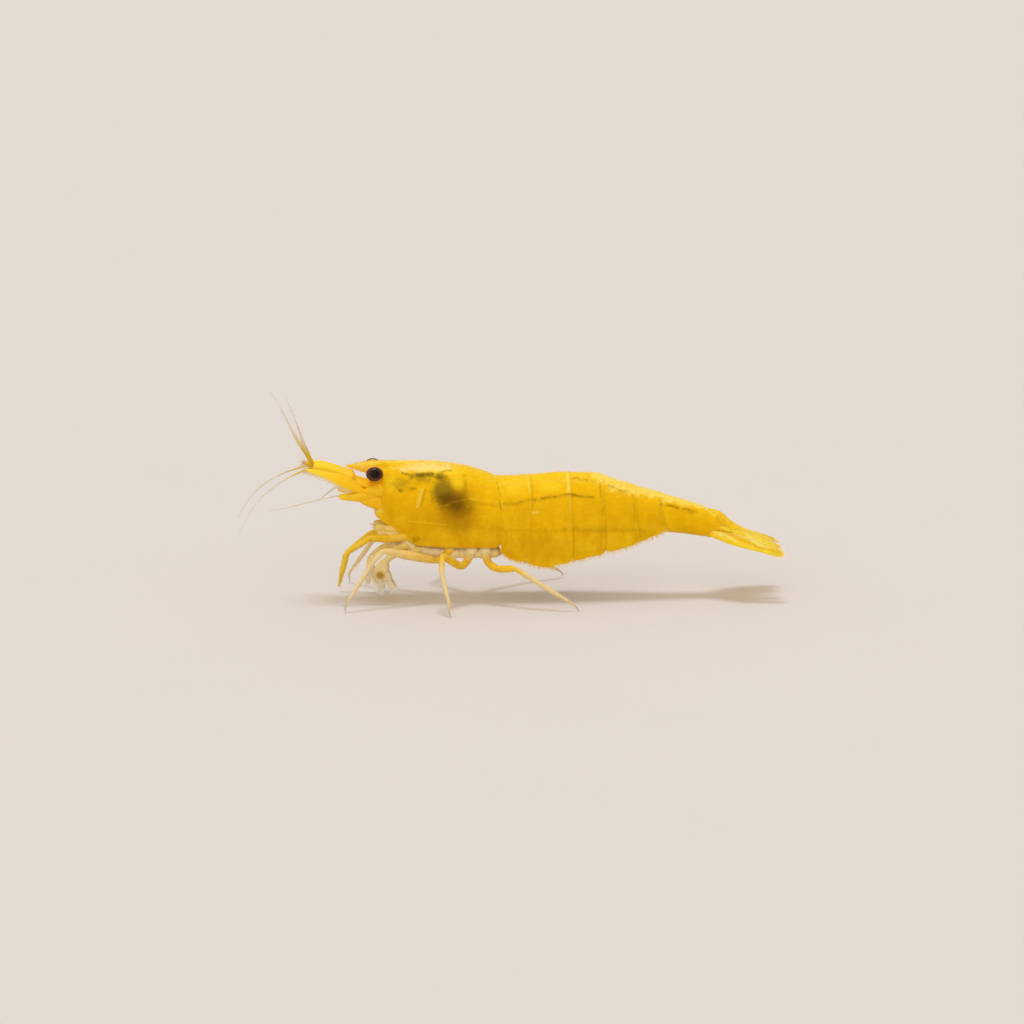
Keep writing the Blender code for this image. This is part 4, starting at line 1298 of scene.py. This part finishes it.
def makeAntennules():
    look = antennule
    for name, side in sides.items():
        shape = newShape()
        addLimb(shape, outTo(look["stalk"], side), look["stalkRadii"], ringSides=26, smooth=0.5,
                dip=0.05)
        steps = look["spineSteps"]
        widths = [0.10 * (1 - (i / (steps - 1)) ** 2) + 0.012 for i in range(steps)]
        addTube(shape, blendAlong(outTo(look["spine"], side), steps), widths, 10, flat=0.6,
                across=(0, 0, 1))
        makePiece(f"antennuleStalk_{name}", shape, frontMaterial,
                  (f"antennule_{name}",))
        shape = newShape()
        addFeeler(shape, outTo(look["outer"][name], side), look["outerRadii"], 58)
        makePiece(f"outerFeeler_{name}", shape, feelerMaterial,
                  (f"antennule_outer_flagellum_{name}",))
        shape = newShape()
        addFeeler(shape, outTo(look["inner"], side), look["innerRadii"], 62)
        makePiece(f"innerFeeler_{name}", shape, feelerMaterial,
                  (f"antennule_inner_flagellum_{name}",))


makeAntennules()


def addBlade(shape, line, widths, across, cup=0.08, thin=((0, 0.035), (1, 0.035)),
             ribs=((0.0, 0.12, 0.07),), steps=44, columns=25, reach=(0.0, 1.0)):
    # leaf with a rounded tip; ribs are (place across, width, height). Gives the rim's points
    path = blendAlong(line, steps)
    widthAt, thinAt = smoothCurve(widths), smoothCurve(thin)
    across = Vector(across)
    top, low = [], []
    rimPlaces = []
    for i, centre in enumerate(path):
        s = i / (steps - 1)
        ahead = (path[min(i + 1, steps - 1)] - path[max(i - 1, 0)]).normalized()
        side = (across - ahead * across.dot(ahead)).normalized()
        up = ahead.cross(side)
        if up.z < 0:
            up = -up
        half = float(widthAt(s))
        topRow, lowRow = [], []
        for k in range(columns):
            c = -math.cos(math.pi * k / (columns - 1))
            lift = cup * half * (c * c) * -1
            height = float(thinAt(s)) * math.sqrt(max(1 - 0.96 * c * c, 0.02))
            for place, width, rise in ribs:
                height += rise * math.exp(-((c - place) / width) ** 2) * (1 - s * 0.75) * (half / 0.5)
            edge = abs(c) > 0.999
            spot = centre + side * half * c + up * lift
            along = reach[0] + (reach[1] - reach[0]) * s
            rim = (1 - abs(c)) * half
            if edge:
                number = addPoint(shape, spot, along, abs(c), rim)
                topRow.append(number)
                lowRow.append(number)
            else:
                topRow.append(addPoint(shape, spot + up * height, along, abs(c), rim))
                lowRow.append(addPoint(shape, spot - up * height * 0.6, along, abs(c), rim))
        rimPlaces.append((s, centre + side * half * -1 + up * -cup * half,
                          centre + side * half + up * -cup * half, ahead.copy(), side.copy()))
        top.append(topRow)
        low.append(lowRow)
    addLoops(shape, top, closed=False)
    addLoops(shape, [list(reversed(row)) for row in low], closed=False)
    for rowTop, rowLow in ((top[0], low[0]), (top[-1], low[-1])):
        ring = rowTop + list(reversed(rowLow[1:-1]))
        shape["faces"].append(tuple(ring))
    return rimPlaces


def fringe(shape, rimPlaces, lengthAt, reach=(0.3, 1.0), each=2, splay=0.5, seed=1,
           droop=(0, 0, 0), sideOnly=None, radius=0.011):
    # setae round the rim of a blade, pointing out and towards its tip
    tipSetae = 14
    chance = random.Random(seed)
    for i in range(len(rimPlaces) - 1):
        s, left, right, ahead, side = rimPlaces[i]
        leftNext, rightNext = rimPlaces[i + 1][1:3]
        if not reach[0] <= s <= reach[1]:
            continue
        for edge, start, end, sign in ((0, left, leftNext, -1), (1, right, rightNext, 1)):
            if sideOnly is not None and sign != sideOnly:
                continue
            for k in range(each):
                share = (k + chance.random()) / each
                root = start.lerp(end, share)
                out = side * sign * splay * (1 + chance.uniform(-0.25, 0.25))
                way = ahead * (1 + chance.uniform(-0.1, 0.1)) + out
                patch = (0.02 + 0.94 * s, 0.25 + 0.5 * edge)
                addSeta(shape, root, way, lengthAt(s) * chance.uniform(0.75, 1.1), radius, droop, patch)
    left, right, ahead, side = rimPlaces[-1][1:]
    if reach[1] >= 1.0 and sideOnly is None:
        for k in range(tipSetae):
            share = (k + 0.5) / tipSetae
            root = left.lerp(right, share)
            way = ahead + side * (share - 0.5) * 1.3 * splay
            addSeta(shape, root, way, lengthAt(1.0) * chance.uniform(0.8, 1.1), radius, droop,
                    (0.97, 0.25 + 0.5 * share))


antenna = {
    "stalk": ((-7.7, 0.26, 6.60), (-9.35, 0.96, 6.68), (-10.12, 1.20, 6.66), (-10.88, 1.36, 6.77)),
    "stalkRadii": ((0.46, 0.42, 0.37), (0.33, 0.30, 0.25), (0.23, 0.215, 0.175)),
    # broad first segment, under the front edge of the carapace
    "root": ((-7.60, 0.42, 6.12), (-8.75, 0.76, 6.34), (-9.70, 0.98, 6.64)),
    "rootRadii": ((0.50, 0.50, 0.47), (0.44, 0.36, 0.25)),
    # the cheek above it, under the eye
    "cheek": ((-7.60, 0.55, 7.00), (-8.50, 0.84, 7.06), (-9.35, 1.02, 6.98)),
    "cheekRadii": ((0.46, 0.46, 0.42), (0.38, 0.30, 0.16)),
    "scale": ((-9.2, 1.05, 6.95), (-10.2, 1.20, 7.53), (-11.1, 1.26, 7.94), (-12.1, 1.28, 8.26),
              (-12.92, 1.22, 8.46)),
    "scaleHalf": [(0, 0.10), (0.14, 0.30), (0.28, 0.39), (0.44, 0.35), (0.58, 0.26), (0.74, 0.18),
                  (0.92, 0.10), (1, 0.03)],
    "feeler": {
        "left": ((-10.75, 1.34, 6.76), (-11.08, 1.45, 6.80), (-12.2, 1.90, 6.66),
                 (-13.4, 2.32, 6.44), (-14.4, 2.70, 6.30), (-15.4, 3.00, 6.20)),
        "right": ((-10.75, 1.34, 6.76), (-11.10, 1.48, 6.74), (-12.0, 1.90, 6.00),
                  (-13.2, 2.32, 5.56), (-14.15, 2.70, 5.26), (-15.1, 3.00, 5.03)),
    },
    "feelerRadii": [(0, 0.08), (0.06, 0.055), (0.3, 0.038), (1, 0.018)],
}


def makeAntennae():
    look = antenna
    for name, side in sides.items():
        shape = newShape()
        addLimb(shape, outTo(look["stalk"], side), look["stalkRadii"], (0.0, 0.6), 28, 0.4, 0.05,
                0.85, (0, 0, 1))
        for part in ("root", "cheek"):
            addLimb(shape, outTo(look[part], side), look[part + "Radii"], (0.0, 0.2), 28, 0.5, 0.0,
                    0.85, (0, 0, 1))
        makePiece(f"antennaStalk_{name}", shape, frontMaterial,
                  (f"antenna_base_{name}",))
        shape = newShape()
        addFeeler(shape, outTo(look["feeler"][name], side), look["feelerRadii"], 66,
                  reach=(0.4, 1.0))
        makePiece(f"longFeeler_{name}", shape, feelerMaterial,
                  (f"antenna_flagellum_{name}",))
        shape = newShape()
        rim = addBlade(shape, outTo(look["scale"], side), look["scaleHalf"],
                       (0, side * 0.45, -0.9), cup=0.10, ribs=((-0.75, 0.14, 0.05), (0.1, 0.1, 0.02)))
        makePiece(f"antennaScale_{name}", shape, frontMaterial,
                  (f"antennal_scale_{name}",))
        shape = newShape()
        fringe(shape, rim, lambda s: 0.45 + 0.20 * s, (0.16, 1.0), 4, 0.9, 11 + side, sideOnly=1,
               radius=0.013)
        fringe(shape, rim, lambda s: 0.45, (0.93, 1.0), 3, 0.7, 12 + side)
        makePiece(f"scaleFringe_{name}", shape, setaMaterial, hairy=True)


makeAntennae()
print("feelers made")


def addLeaf(shape, root, tip, half, across, reach=(0.0, 1.0), bend=(0, 0, 0)):
    root, tip = Vector(root), Vector(tip)
    middle = root.lerp(tip, 0.5) + Vector(bend)
    return addBlade(shape, (root, middle, tip), [(0, half * 0.6), (0.5, half), (0.85, half * 0.7),
                    (1, half * 0.15)], across, cup=0.15, ribs=((0.0, 0.3, 0.03),),
                    steps=16, columns=11, reach=reach)


mouth = {
    # flaps that end in setae: (root, tip, half width)
    "flaps": (((-7.1, 0.35, 4.15), (-8.55, 0.30, 4.62), 0.30),
              ((-7.3, 0.55, 4.05), (-8.75, 0.55, 4.62), 0.26),
              ((-7.0, 0.75, 3.95), (-8.35, 0.80, 4.30), 0.28),
              ((-6.9, 0.42, 3.78), (-8.1, 0.45, 3.92), 0.28),
              ((-6.6, 0.70, 3.70), (-7.7, 0.85, 3.74), 0.26)),
    # soft lobes between them: (root, tip, radius)
    "lobes": (((-7.0, 0.85, 4.50), (-8.10, 0.95, 4.68), 0.25),
              ((-6.8, 0.95, 4.22), (-7.90, 1.10, 4.30), 0.21),
              ((-7.2, 0.62, 4.50), (-8.66, 0.66, 4.66), 0.29),
              ((-7.2, 0.80, 4.20), (-8.48, 0.86, 4.34), 0.27),
              ((-7.4, 0.45, 5.30), (-8.60, 0.50, 5.55), 0.36)),
    "jaw": ((-7.2, 0.30, 4.60), (-8.35, 0.28, 4.62)),
    "jawRadii": (0.30, 0.30, 0.20),
    "setaLength": 0.18,
}


def makeMouth():
    look = mouth
    shape = newShape()
    hairs = newShape()
    for side in sides.values():
        for root, tip, radius in look["lobes"]:
            addLimb(shape, outTo((root, tip), side), ((radius * 0.9, radius, radius * 0.8),),
                    (0.0, 0.35), 18)
        for i, (root, tip, half) in enumerate(look["flaps"]):
            start, end = outTo((root, tip), side)
            rim = addLeaf(shape, start, end, half, (0, 1, 0.3 * side), (0.1, 0.9), (0, 0, -0.08))
            fringe(hairs, rim, lambda s: look["setaLength"], (0.6, 1.0), 1, 0.5, 20 + i,
                   droop=(0, 0, -0.3), radius=0.009)
        addPodomere(shape, *outTo(look["jaw"], side), look["jawRadii"], (0, 0.2))
    makePiece("mouthFlaps", shape, tissueMaterial, ("mouthparts",))
    makePiece("mouthSetae", hairs, brushMaterial, hairy=True)


makeMouth()
print("mouth made")


frontLimbs = {
    "maxilliped": {
        "left": ((-6.5, 0.95, 4.15), (-7.75, 1.35, 4.02), (-8.9, 1.80, 4.22), (-10.46, 2.13, 3.32),
                 (-10.93, 2.35, 1.24)),
        "right": ((-6.5, 0.95, 4.15), (-7.75, 1.35, 3.98), (-8.8, 1.80, 3.78), (-10.24, 2.13, 2.52),
                  (-10.68, 2.35, 0.54)),
        "radii": ((0.30, 0.27, 0.24), (0.24, 0.235, 0.21), (0.19, 0.185, 0.17), (0.165, 0.155, 0.08)),
    },
    "cheliped_1": {
        "left": ((-6.5, 0.90, 3.60), (-7.3, 1.20, 3.34), (-8.3, 1.60, 3.30), (-8.96, 1.88, 2.86)),
        "right": ((-6.5, 0.90, 3.60), (-7.3, 1.20, 3.25), (-8.1, 1.55, 2.98), (-8.80, 1.88, 2.24)),
        "radii": ((0.30, 0.28, 0.20), (0.18, 0.18, 0.16), (0.15, 0.17, 0.20)),
        "palm": (0.00, 0.06, -0.66), "tips": ((0.30, 0.14, -1.34), (-0.14, 0.08, -1.30)),
        "handRadii": ((0.20, 0.25, 0.26), (0.25, 0.16, 0.08)), "fingerRadii": ((0.20, 0.15, 0.08),),
        "setae": 260,
    },
    "cheliped_2": {
        "left": ((-5.6, 0.90, 3.40), (-6.4, 1.20, 3.12), (-7.3, 1.60, 3.08), (-8.05, 2.00, 2.76)),
        "right": ((-5.6, 0.90, 3.40), (-6.4, 1.20, 3.02), (-7.1, 1.55, 2.74), (-7.80, 2.00, 2.04)),
        "radii": ((0.30, 0.28, 0.20), (0.18, 0.18, 0.16), (0.15, 0.18, 0.21)),
        "palm": (-0.30, 0.10, -0.80), "tips": ((0.46, 0.20, -1.48), (-0.24, 0.12, -1.60)),
        "handRadii": ((0.23, 0.37, 0.44), (0.42, 0.26, 0.10)), "fingerRadii": ((0.32, 0.24, 0.10),),
        "setae": 460,
    },
}


def makeFrontLimbs():
    for limb, look in frontLimbs.items():
        for name, side in sides.items():
            shape, hairs = newShape(), newShape()
            chance = random.Random(len(limb) * 7 + side)
            joints = outTo(look[name], side)
            addLimb(shape, joints, look["radii"], (0.0, 1.0 if limb == "maxilliped" else 0.6))
            if limb == "maxilliped":
                for i in (1, 2, 3):
                    for k in range(30):
                        share = (k + chance.random()) / 30
                        root = joints[i].lerp(joints[i + 1], share)
                        way = Vector((chance.uniform(-0.2, 1.0), -side * chance.uniform(0, 0.8),
                                      -0.6 if i < 3 else -0.3))
                        root = root + way.normalized() * 0.10
                        addSeta(hairs, root, way, 0.28 * chance.uniform(0.6, 1.2), 0.010,
                                (0, 0, -0.15), (0.1 + 0.2 * i + 0.15 * share, 0.5))
                material, slot = deepLimbMaterial, "limb_deep_yellow"
            else:
                # the hand: a broad palm and two fingers that end in brushes
                wrist = joints[-1]
                size = 1.0 if limb == "cheliped_2" else 0.82
                palm = wrist + Vector((look["palm"][0], side * look["palm"][1], look["palm"][2]))
                tips = [wrist + Vector((x, side * out, z)) for x, out, z in look["tips"]]
                addLimb(shape, (wrist + Vector((0, 0, 0.12)), palm, tips[1]), look["handRadii"],
                        (0.45, 0.95), 24, 0.3, 0.0, 0.5, (1, 0, 0), 0.04)
                roots = [palm + Vector((0.14, 0, 0.12)), palm]
                addLimb(shape, (roots[0], tips[0]), look["fingerRadii"], (0.70, 0.95), 20, flat=0.5,
                        across=(1, 0, 0), step=0.04)
                for k in range(look["setae"]):
                    finger = k % 2
                    share = 1 - 0.95 * chance.random() ** 1.2
                    spot = roots[finger].lerp(tips[finger], share)
                    spot += Vector((chance.uniform(-0.14, 0.14), chance.uniform(-0.05, 0.05), 0))
                    fan = chance.uniform(-0.15, 0.62) if finger == 0 else chance.uniform(-0.50, 0.25)
                    way = Vector((fan, chance.uniform(-0.22, 0.22), -1.0))
                    length = min(0.62 * size * chance.uniform(0.6, 1.0), max(spot.z - 0.12, 0.05))
                    addSeta(hairs, spot, way, length, 0.015, (0.08 * fan, 0, 0),
                            (0.1 + 0.4 * finger + 0.4 * share, 0.2 + 0.6 * k / look["setae"]))
                material, slot = tissueMaterial, "tissue_clear_yellow"
            makePiece(f"{limb}Limb_{name}", shape, material, (f"{limb}_{name}",))
            makePiece(f"{limb}Setae_{name}", hairs, brushMaterial, hairy=True)


makeFrontLimbs()
print("front limbs made")


# joints run from the hip over two short segments, thigh, knee piece and shin to the claw
walkingLegs = {
    3: {
        "joints": ((-3.8, 0.75, 3.55), (-4.15, 1.10, 2.98), (-4.45, 1.32, 2.70), (-4.85, 1.52, 2.68),
                   (-8.20, 2.93, 3.60), (-8.95, 3.33, 2.80), (-10.35, 4.38, 0.82), (-10.6, 4.60, 0.0)),
        "radii": ((0.42, 0.43, 0.33), (0.29, 0.26, 0.24), (0.23, 0.23, 0.22), (0.25, 0.285, 0.21),
                  (0.17, 0.17, 0.15), (0.145, 0.135, 0.085)),
        "rightFoot": (0.65, 0.65, 0.0),
        "paler": 0.15,
    },
    4: {
        "joints": ((-2.5, 0.75, 3.55), (-2.7, 1.25, 2.95), (-2.95, 1.75, 2.55), (-3.3, 2.40, 2.43),
                   (-4.55, 3.92, 3.46), (-4.62, 4.95, 2.52), (-4.20, 6.10, 0.80), (-4.1, 6.45, 0.0)),
        "radii": ((0.40, 0.42, 0.32), (0.28, 0.26, 0.24), (0.23, 0.24, 0.22), (0.23, 0.25, 0.20),
                  (0.16, 0.18, 0.17), (0.155, 0.145, 0.10)),
        "rightFoot": (0.1, 0.0, 0.0),
        "paler": -0.02,
    },
    5: {
        "joints": ((-1.75, 0.75, 3.55), (-1.70, 1.25, 2.90), (-1.55, 1.80, 2.48), (-1.05, 2.40, 2.27),
                   (0.05, 3.12, 2.42), (1.05, 3.78, 1.88), (3.30, 4.72, 0.62), (3.9, 4.95, 0.0)),
        "radii": ((0.40, 0.42, 0.32), (0.28, 0.26, 0.24), (0.23, 0.24, 0.22), (0.22, 0.23, 0.18),
                  (0.15, 0.17, 0.16), (0.155, 0.15, 0.10)),
        "rightFoot": (-0.3, 1.3, 0.0),
        "paler": 0.0,
    },
}
legSpines = ((3, 4, 0.22), (4, 2, 0.14), (5, 12, 0.15))  # (segment, how many, length)

# soft roots of all the limbs, a lobe for each
hipLobes = {
    "line": ((-7.0, 0.80, 3.95), (-6.1, 0.85, 3.42), (-5.2, 0.88, 3.16), (-4.5, 0.88, 3.06),
             (-3.3, 0.88, 3.00), (-2.2, 0.86, 3.00), (-1.5, 0.84, 3.02), (-0.75, 0.78, 3.06)),
    "radius": 0.36,
    "waist": 0.14,
}


def makeHipLobes():
    look = hipLobes
    r = look["radius"]
    for name, side in sides.items():
        shape = newShape()
        lobes = [(r * 0.94, r, r * 0.94)] * (len(look["line"]) - 1)
        addLimb(shape, outTo(look["line"], side), lobes, (0.10, 0.20), 24, 0.25, look["waist"])
        makePiece(f"hipLobes_{name}", shape, limbMaterial)


makeHipLobes()


def makeWalkingLegs():
    for number, look in walkingLegs.items():
        for name, side in sides.items():
            joints = outTo(look["joints"], side)
            last = len(joints) - 1
            if name == "right":
                for i in range(last + 1):
                    push = (max(0, i - 2) / (last - 2)) ** 2
                    away = look["rightFoot"]
                    joints[i] += Vector((away[0] * push, side * away[1] * push, away[2]))
            shape, hairs = newShape(), newShape()
            chance = random.Random(number * 10 + side)
            addLimb(shape, joints[:-1], look["radii"], (look["paler"], look["paler"] + 0.92), 18, 0.22)
            # spines under thigh and shin, finer setae between them
            for i, count, length in legSpines:
                run = (joints[i + 1] - joints[i]).normalized()
                under = (Vector((0, 0, -1)) - run * run.dot(Vector((0, 0, -1)))).normalized()
                radius = look["radii"][i][1]
                for k in range(count):
                    share = 0.15 + 0.8 * k / count
                    root = joints[i].lerp(joints[i + 1], share) + under * radius * 0.8
                    addTube(shape, [root, root + (run * 0.6 + under) * length * 0.5,
                                    root + (run * 0.9 + under) * length],
                            [0.022, 0.014, 0.004], 5, (0.8, 1.0))
                for k in range(count * 3):
                    share = chance.random()
                    turn = chance.uniform(0, 6.28)
                    out = under * math.cos(turn) + run.cross(under) * math.sin(turn)
                    root = joints[i].lerp(joints[i + 1], share) + out * radius * 0.75
                    addSeta(hairs, root, out + run * 1.2, 0.16, 0.007,
                            patch=(0.1 + 0.1 * i + 0.1 * share, 0.15 * turn))
            makePiece(f"walkingLeg{number}_{name}", shape, limbMaterial,
                      (f"leg_{number}_upper_{name}", f"leg_{number}_lower_{name}"))
            makePiece(f"legSetae{number}_{name}", hairs, setaMaterial,
                      hairy=True)
            # claw with its row of small spines
            shape = newShape()
            knuckle, tip = joints[last - 1], joints[last] + Vector((0, 0, 0.03))
            bow = Vector((-0.10 if number < 5 else 0.10, 0, 0.02))
            path = [knuckle.lerp(tip, i / 12) + bow * math.sin(math.pi * i / 12) for i in range(13)]
            widths = [0.082 - 0.062 * i / 12 for i in range(13)]
            addTube(shape, path, widths, 12, (0.0, 1.0))
            for k in range(4):
                spot = path[3 + 2 * k]
                addTube(shape, [spot, spot + Vector((-bow.x * 0.4, 0, -0.05)),
                                spot + Vector((-bow.x * 0.6, 0, -0.12))], [0.022, 0.015, 0.004], 5)
            makePiece(f"claw{number}_{name}", shape, clawMaterial)


makeWalkingLegs()
print("walking legs made")


swimmerets = {
    "rootRadii": (0.24, 0.25, 0.20),
    "outShare": 0.32,  # how far out the root stands, as a share of the body's half width
    "clear": 0.20,  # how far the tips stay above the plates' lower edges
    "leaves": ((1.05, 0.25, 0.0), (0.75, -0.22, 0.12)),  # from the root's end to each tip
    "leafHalf": 0.22,
    "setaLength": 0.30,
}


def makeSwimmerets():
    look = swimmerets
    ends = body["segmentEnds"]
    for i in range(5):
        start = (ends[i] + ends[i + 1]) / 2 - 0.45
        roof = float(fleshFloorAt(start)) + 0.15
        low = float(pleuraEdgeAt(start + 0.9)) + look["clear"]
        out = float(halfWidthAt(start)) * look["outShare"]
        for name, side in sides.items():
            shape, hairs = newShape(), newShape()
            top = Vector((start, side * out, roof))
            knee = Vector((start + 0.25, side * out * 1.15, roof - 0.55 * (roof - low)))
            addPodomere(shape, top, knee, look["rootRadii"], (0.0, 0.3), flat=0.7, across=(0, 1, 0))
            for leaf, (dx, dy, dz) in enumerate(look["leaves"]):
                tip = Vector((knee.x + dx, side * (out * 1.15 + dy), low + dz))
                rim = addLeaf(shape, knee - Vector((0.06, 0, -0.06)), tip, look["leafHalf"],
                              (0, 1, 0), (0.3, 1.0), (-0.06, 0, -0.12))
                fringe(hairs, rim, lambda s: look["setaLength"], (0.25, 1.0), 2, 0.6,
                       40 + i * 4 + leaf)
            makePiece(f"swimmeretLeaf{i + 1}_{name}", shape, tissueMaterial,
                      (f"swimmeret_{i + 1}_{name}",))
            makePiece(f"swimmeretFringe{i + 1}_{name}", hairs, setaMaterial,
                      hairy=True)


makeSwimmerets()
print("swimmerets made")


tailFan = {
    "telson": {
        "line": ((12.25, 0, 5.02), (12.95, 0, 4.88), (13.9, 0, 4.38), (15.1, 0, 3.86), (16.30, 0, 3.44)),
        "half": [(0, 0.66), (0.15, 0.68), (0.5, 0.58), (0.88, 0.38), (0.96, 0.28), (1, 0.14)],
        "thin": [(0, 0.48), (0.2, 0.42), (0.42, 0.22), (0.7, 0.11), (1, 0.05)],
        "cup": 0.42, "ribs": ((0.0, 0.30, 0.05), (-0.55, 0.12, 0.03), (0.55, 0.12, 0.03)),
        "tilt": {"left": 0.0},
    },
    "uropod_inner": {
        "line": ((12.45, 0.44, 4.34), (12.95, 0.60, 4.24), (14.2, 1.06, 3.90), (15.5, 1.22, 3.53),
                 (16.60, 1.22, 3.18)),
        "half": [(0, 0.34), (0.2, 0.52), (0.55, 0.64), (0.85, 0.46), (0.96, 0.24), (1, 0.06)],
        "thin": [(0, 0.16), (0.3, 0.08), (1, 0.035)],
        "cup": 0.14, "ribs": ((0.0, 0.12, 0.07), (-0.5, 0.10, 0.03), (0.5, 0.10, 0.03)),
        "tilt": {"left": -0.62, "right": -0.30},
    },
    "uropod_outer": {
        "line": ((12.45, 0.80, 4.14), (12.98, 1.14, 4.06), (14.2, 1.98, 3.80), (15.6, 2.36, 3.44),
                 (16.68, 2.42, 3.06)),
        "half": [(0, 0.26), (0.2, 0.38), (0.55, 0.46), (0.85, 0.36), (0.96, 0.20), (1, 0.06)],
        "thin": [(0, 0.14), (0.3, 0.08), (1, 0.035)],
        "cup": 0.14, "ribs": ((0.05, 0.12, 0.07), (-0.55, 0.10, 0.03), (0.8, 0.10, 0.05)),
        "tilt": {"left": -0.62, "right": -0.04},
    },
    # short stout root that both blades of a side grow from
    "root": ((11.95, 0.42, 4.46), (12.85, 0.60, 4.36), (13.75, 0.98, 4.12)),
    "rootRadii": ((0.36, 0.36, 0.35), (0.33, 0.31, 0.24)),
}


def makeTail():
    for blade in ("telson", "uropod_inner", "uropod_outer"):
        look = tailFan[blade]
        for name, side in sides.items():
            if blade == "telson" and name == "right":
                continue
            label = "telsonBlade" if blade == "telson" else f"{blade}Blade_{name}"
            nodes = ("telson",) if blade == "telson" else (f"{blade}_{name}",)
            line = outTo(look["line"], side)
            shape, hairs = newShape(), newShape()
            rim = addBlade(shape, line, look["half"], (0, side, look["tilt"][name]), look["cup"],
                           look["thin"], look["ribs"], 64, 35)
            if blade == "uropod_inner":
                addLimb(shape, outTo(tailFan["root"], side), tailFan["rootRadii"], (0.0, 0.2), 24,
                        flat=0.8, across=(0, 1, 0), dip=0.04)
            if blade == "telson":
                # pairs of small spines along the sides and round the tip
                for k in range(5):
                    place = rim[14 + 10 * k if k < 4 else 55]
                    for spot, sign in ((place[1], 1), (place[2], -1)):
                        root = spot + place[4] * sign * 0.10 + Vector((0, 0, 0.06))
                        addTube(shape, [root, root + place[3] * 0.12 + Vector((0, 0, 0.02)),
                                        root + place[3] * 0.22], [0.024, 0.018, 0.004], 5)
                fringe(hairs, rim, lambda s: 0.38, (0.97, 1.0), 2, 0.35, 60)
            else:
                fringe(hairs, rim, lambda s: 0.12 + 0.30 * float(smoothStep(0.70, 0.95, s)),
                       (0.35, 1.0), 4, 0.45, 61 + side, radius=0.013)
            makePiece(label, shape, tailMaterial, nodes)
            makePiece(label.replace("Blade", "Fringe"), hairs, fanSetaMaterial,
                      hairy=True)


makeTail()
print("tail made")


studio = {
    "floorColour": (0.748, 0.697, 0.671),
    "skyColour": (1.0, 0.92, 0.76), "skyStrength": 0.57,
    # (strength, spread, azimuth, elevation, tint); azimuth 0 shines from the viewer's side
    "suns": {
        "overheadKey": (0.955, 18, 180, 87, (1.0, 1.083, 1.283)),
        "frontFill": (1.0, 70, -12, 22, (1.0, 0.95, 0.88)),
        "rearFill": (0.25, 70, 170, 35, (1.0, 0.95, 0.88)),
    },
    "azimuth": -3.0, "elevation": 11.0, "lens": 300.0, "sensorWidth": 36.0,
    "widthShown": 64.0,  # mm across the picture at the animal
    "aim": (0.0, 0.0, 5.41),
}


def directionTo(azimuth, elevation):
    a, e = math.radians(azimuth), math.radians(elevation)
    return Vector((math.sin(a) * math.cos(e), -math.cos(a) * math.cos(e), math.sin(e)))


def addSun(name, strength, spread, azimuth, elevation, tint):
    data = bpy.data.lights.new(name, "SUN")
    data.color = tint
    data.energy = strength
    data.angle = math.radians(spread)
    lamp = bpy.data.objects.new(name, data)
    towards = directionTo(azimuth, elevation)
    lamp.rotation_euler = towards.to_track_quat("Z", "Y").to_euler()
    lamp.location = towards * 0.3
    bpy.context.collection.objects.link(lamp)


def makeStudio():
    look = studio
    bm = bmesh.new()
    bmesh.ops.create_grid(bm, x_segments=8, y_segments=8, size=1.5)
    mesh = bpy.data.meshes.new("floor")
    bm.to_mesh(mesh)
    bm.free()
    floor = bpy.data.objects.new("floor", mesh)
    bpy.context.collection.objects.link(floor)
    material, tree, shader = newMaterial("paleFloor", {"Roughness": 0.75, "Specular IOR Level": 0.15})
    place = putNode(tree, "ShaderNodeTexCoord").outputs["Object"]
    cloud = noiseNode(tree, place, 60.0, 2.0)["Fac"]
    tone = colour(*look["floorColour"])
    dimmer = colour(*[value * 0.985 for value in look["floorColour"]])
    tree.links.new(mixColour(tree, cloud, tone, dimmer), shader.inputs["Base Color"])
    mesh.materials.append(material)

    world = bpy.data.worlds.new("studioSky")
    world.use_nodes = True
    sky = world.node_tree.nodes["Background"]
    sky.inputs["Color"].default_value = colour(*look["skyColour"])
    sky.inputs["Strength"].default_value = look["skyStrength"]
    bpy.context.scene.world = world
    for name, sun in look["suns"].items():
        addSun(name, *sun)

    data = bpy.data.cameras.new("camera")
    data.lens = look["lens"]
    data.sensor_width = look["sensorWidth"]
    distance = look["lens"] * look["widthShown"] / look["sensorWidth"] * mm
    data.clip_start = 0.01
    data.clip_end = 10.0
    camera = bpy.data.objects.new("camera", data)
    back = directionTo(look["azimuth"], look["elevation"])
    aim = Vector(tuple((np.array(look["aim"]) + shift) * mm))
    camera.location = aim + back * distance
    camera.rotation_euler = back.to_track_quat("Z", "Y").to_euler()
    bpy.context.collection.objects.link(camera)
    bpy.context.scene.camera = camera
    bpy.context.scene.view_settings.view_transform = "Standard"


makeStudio()
print("studio made")
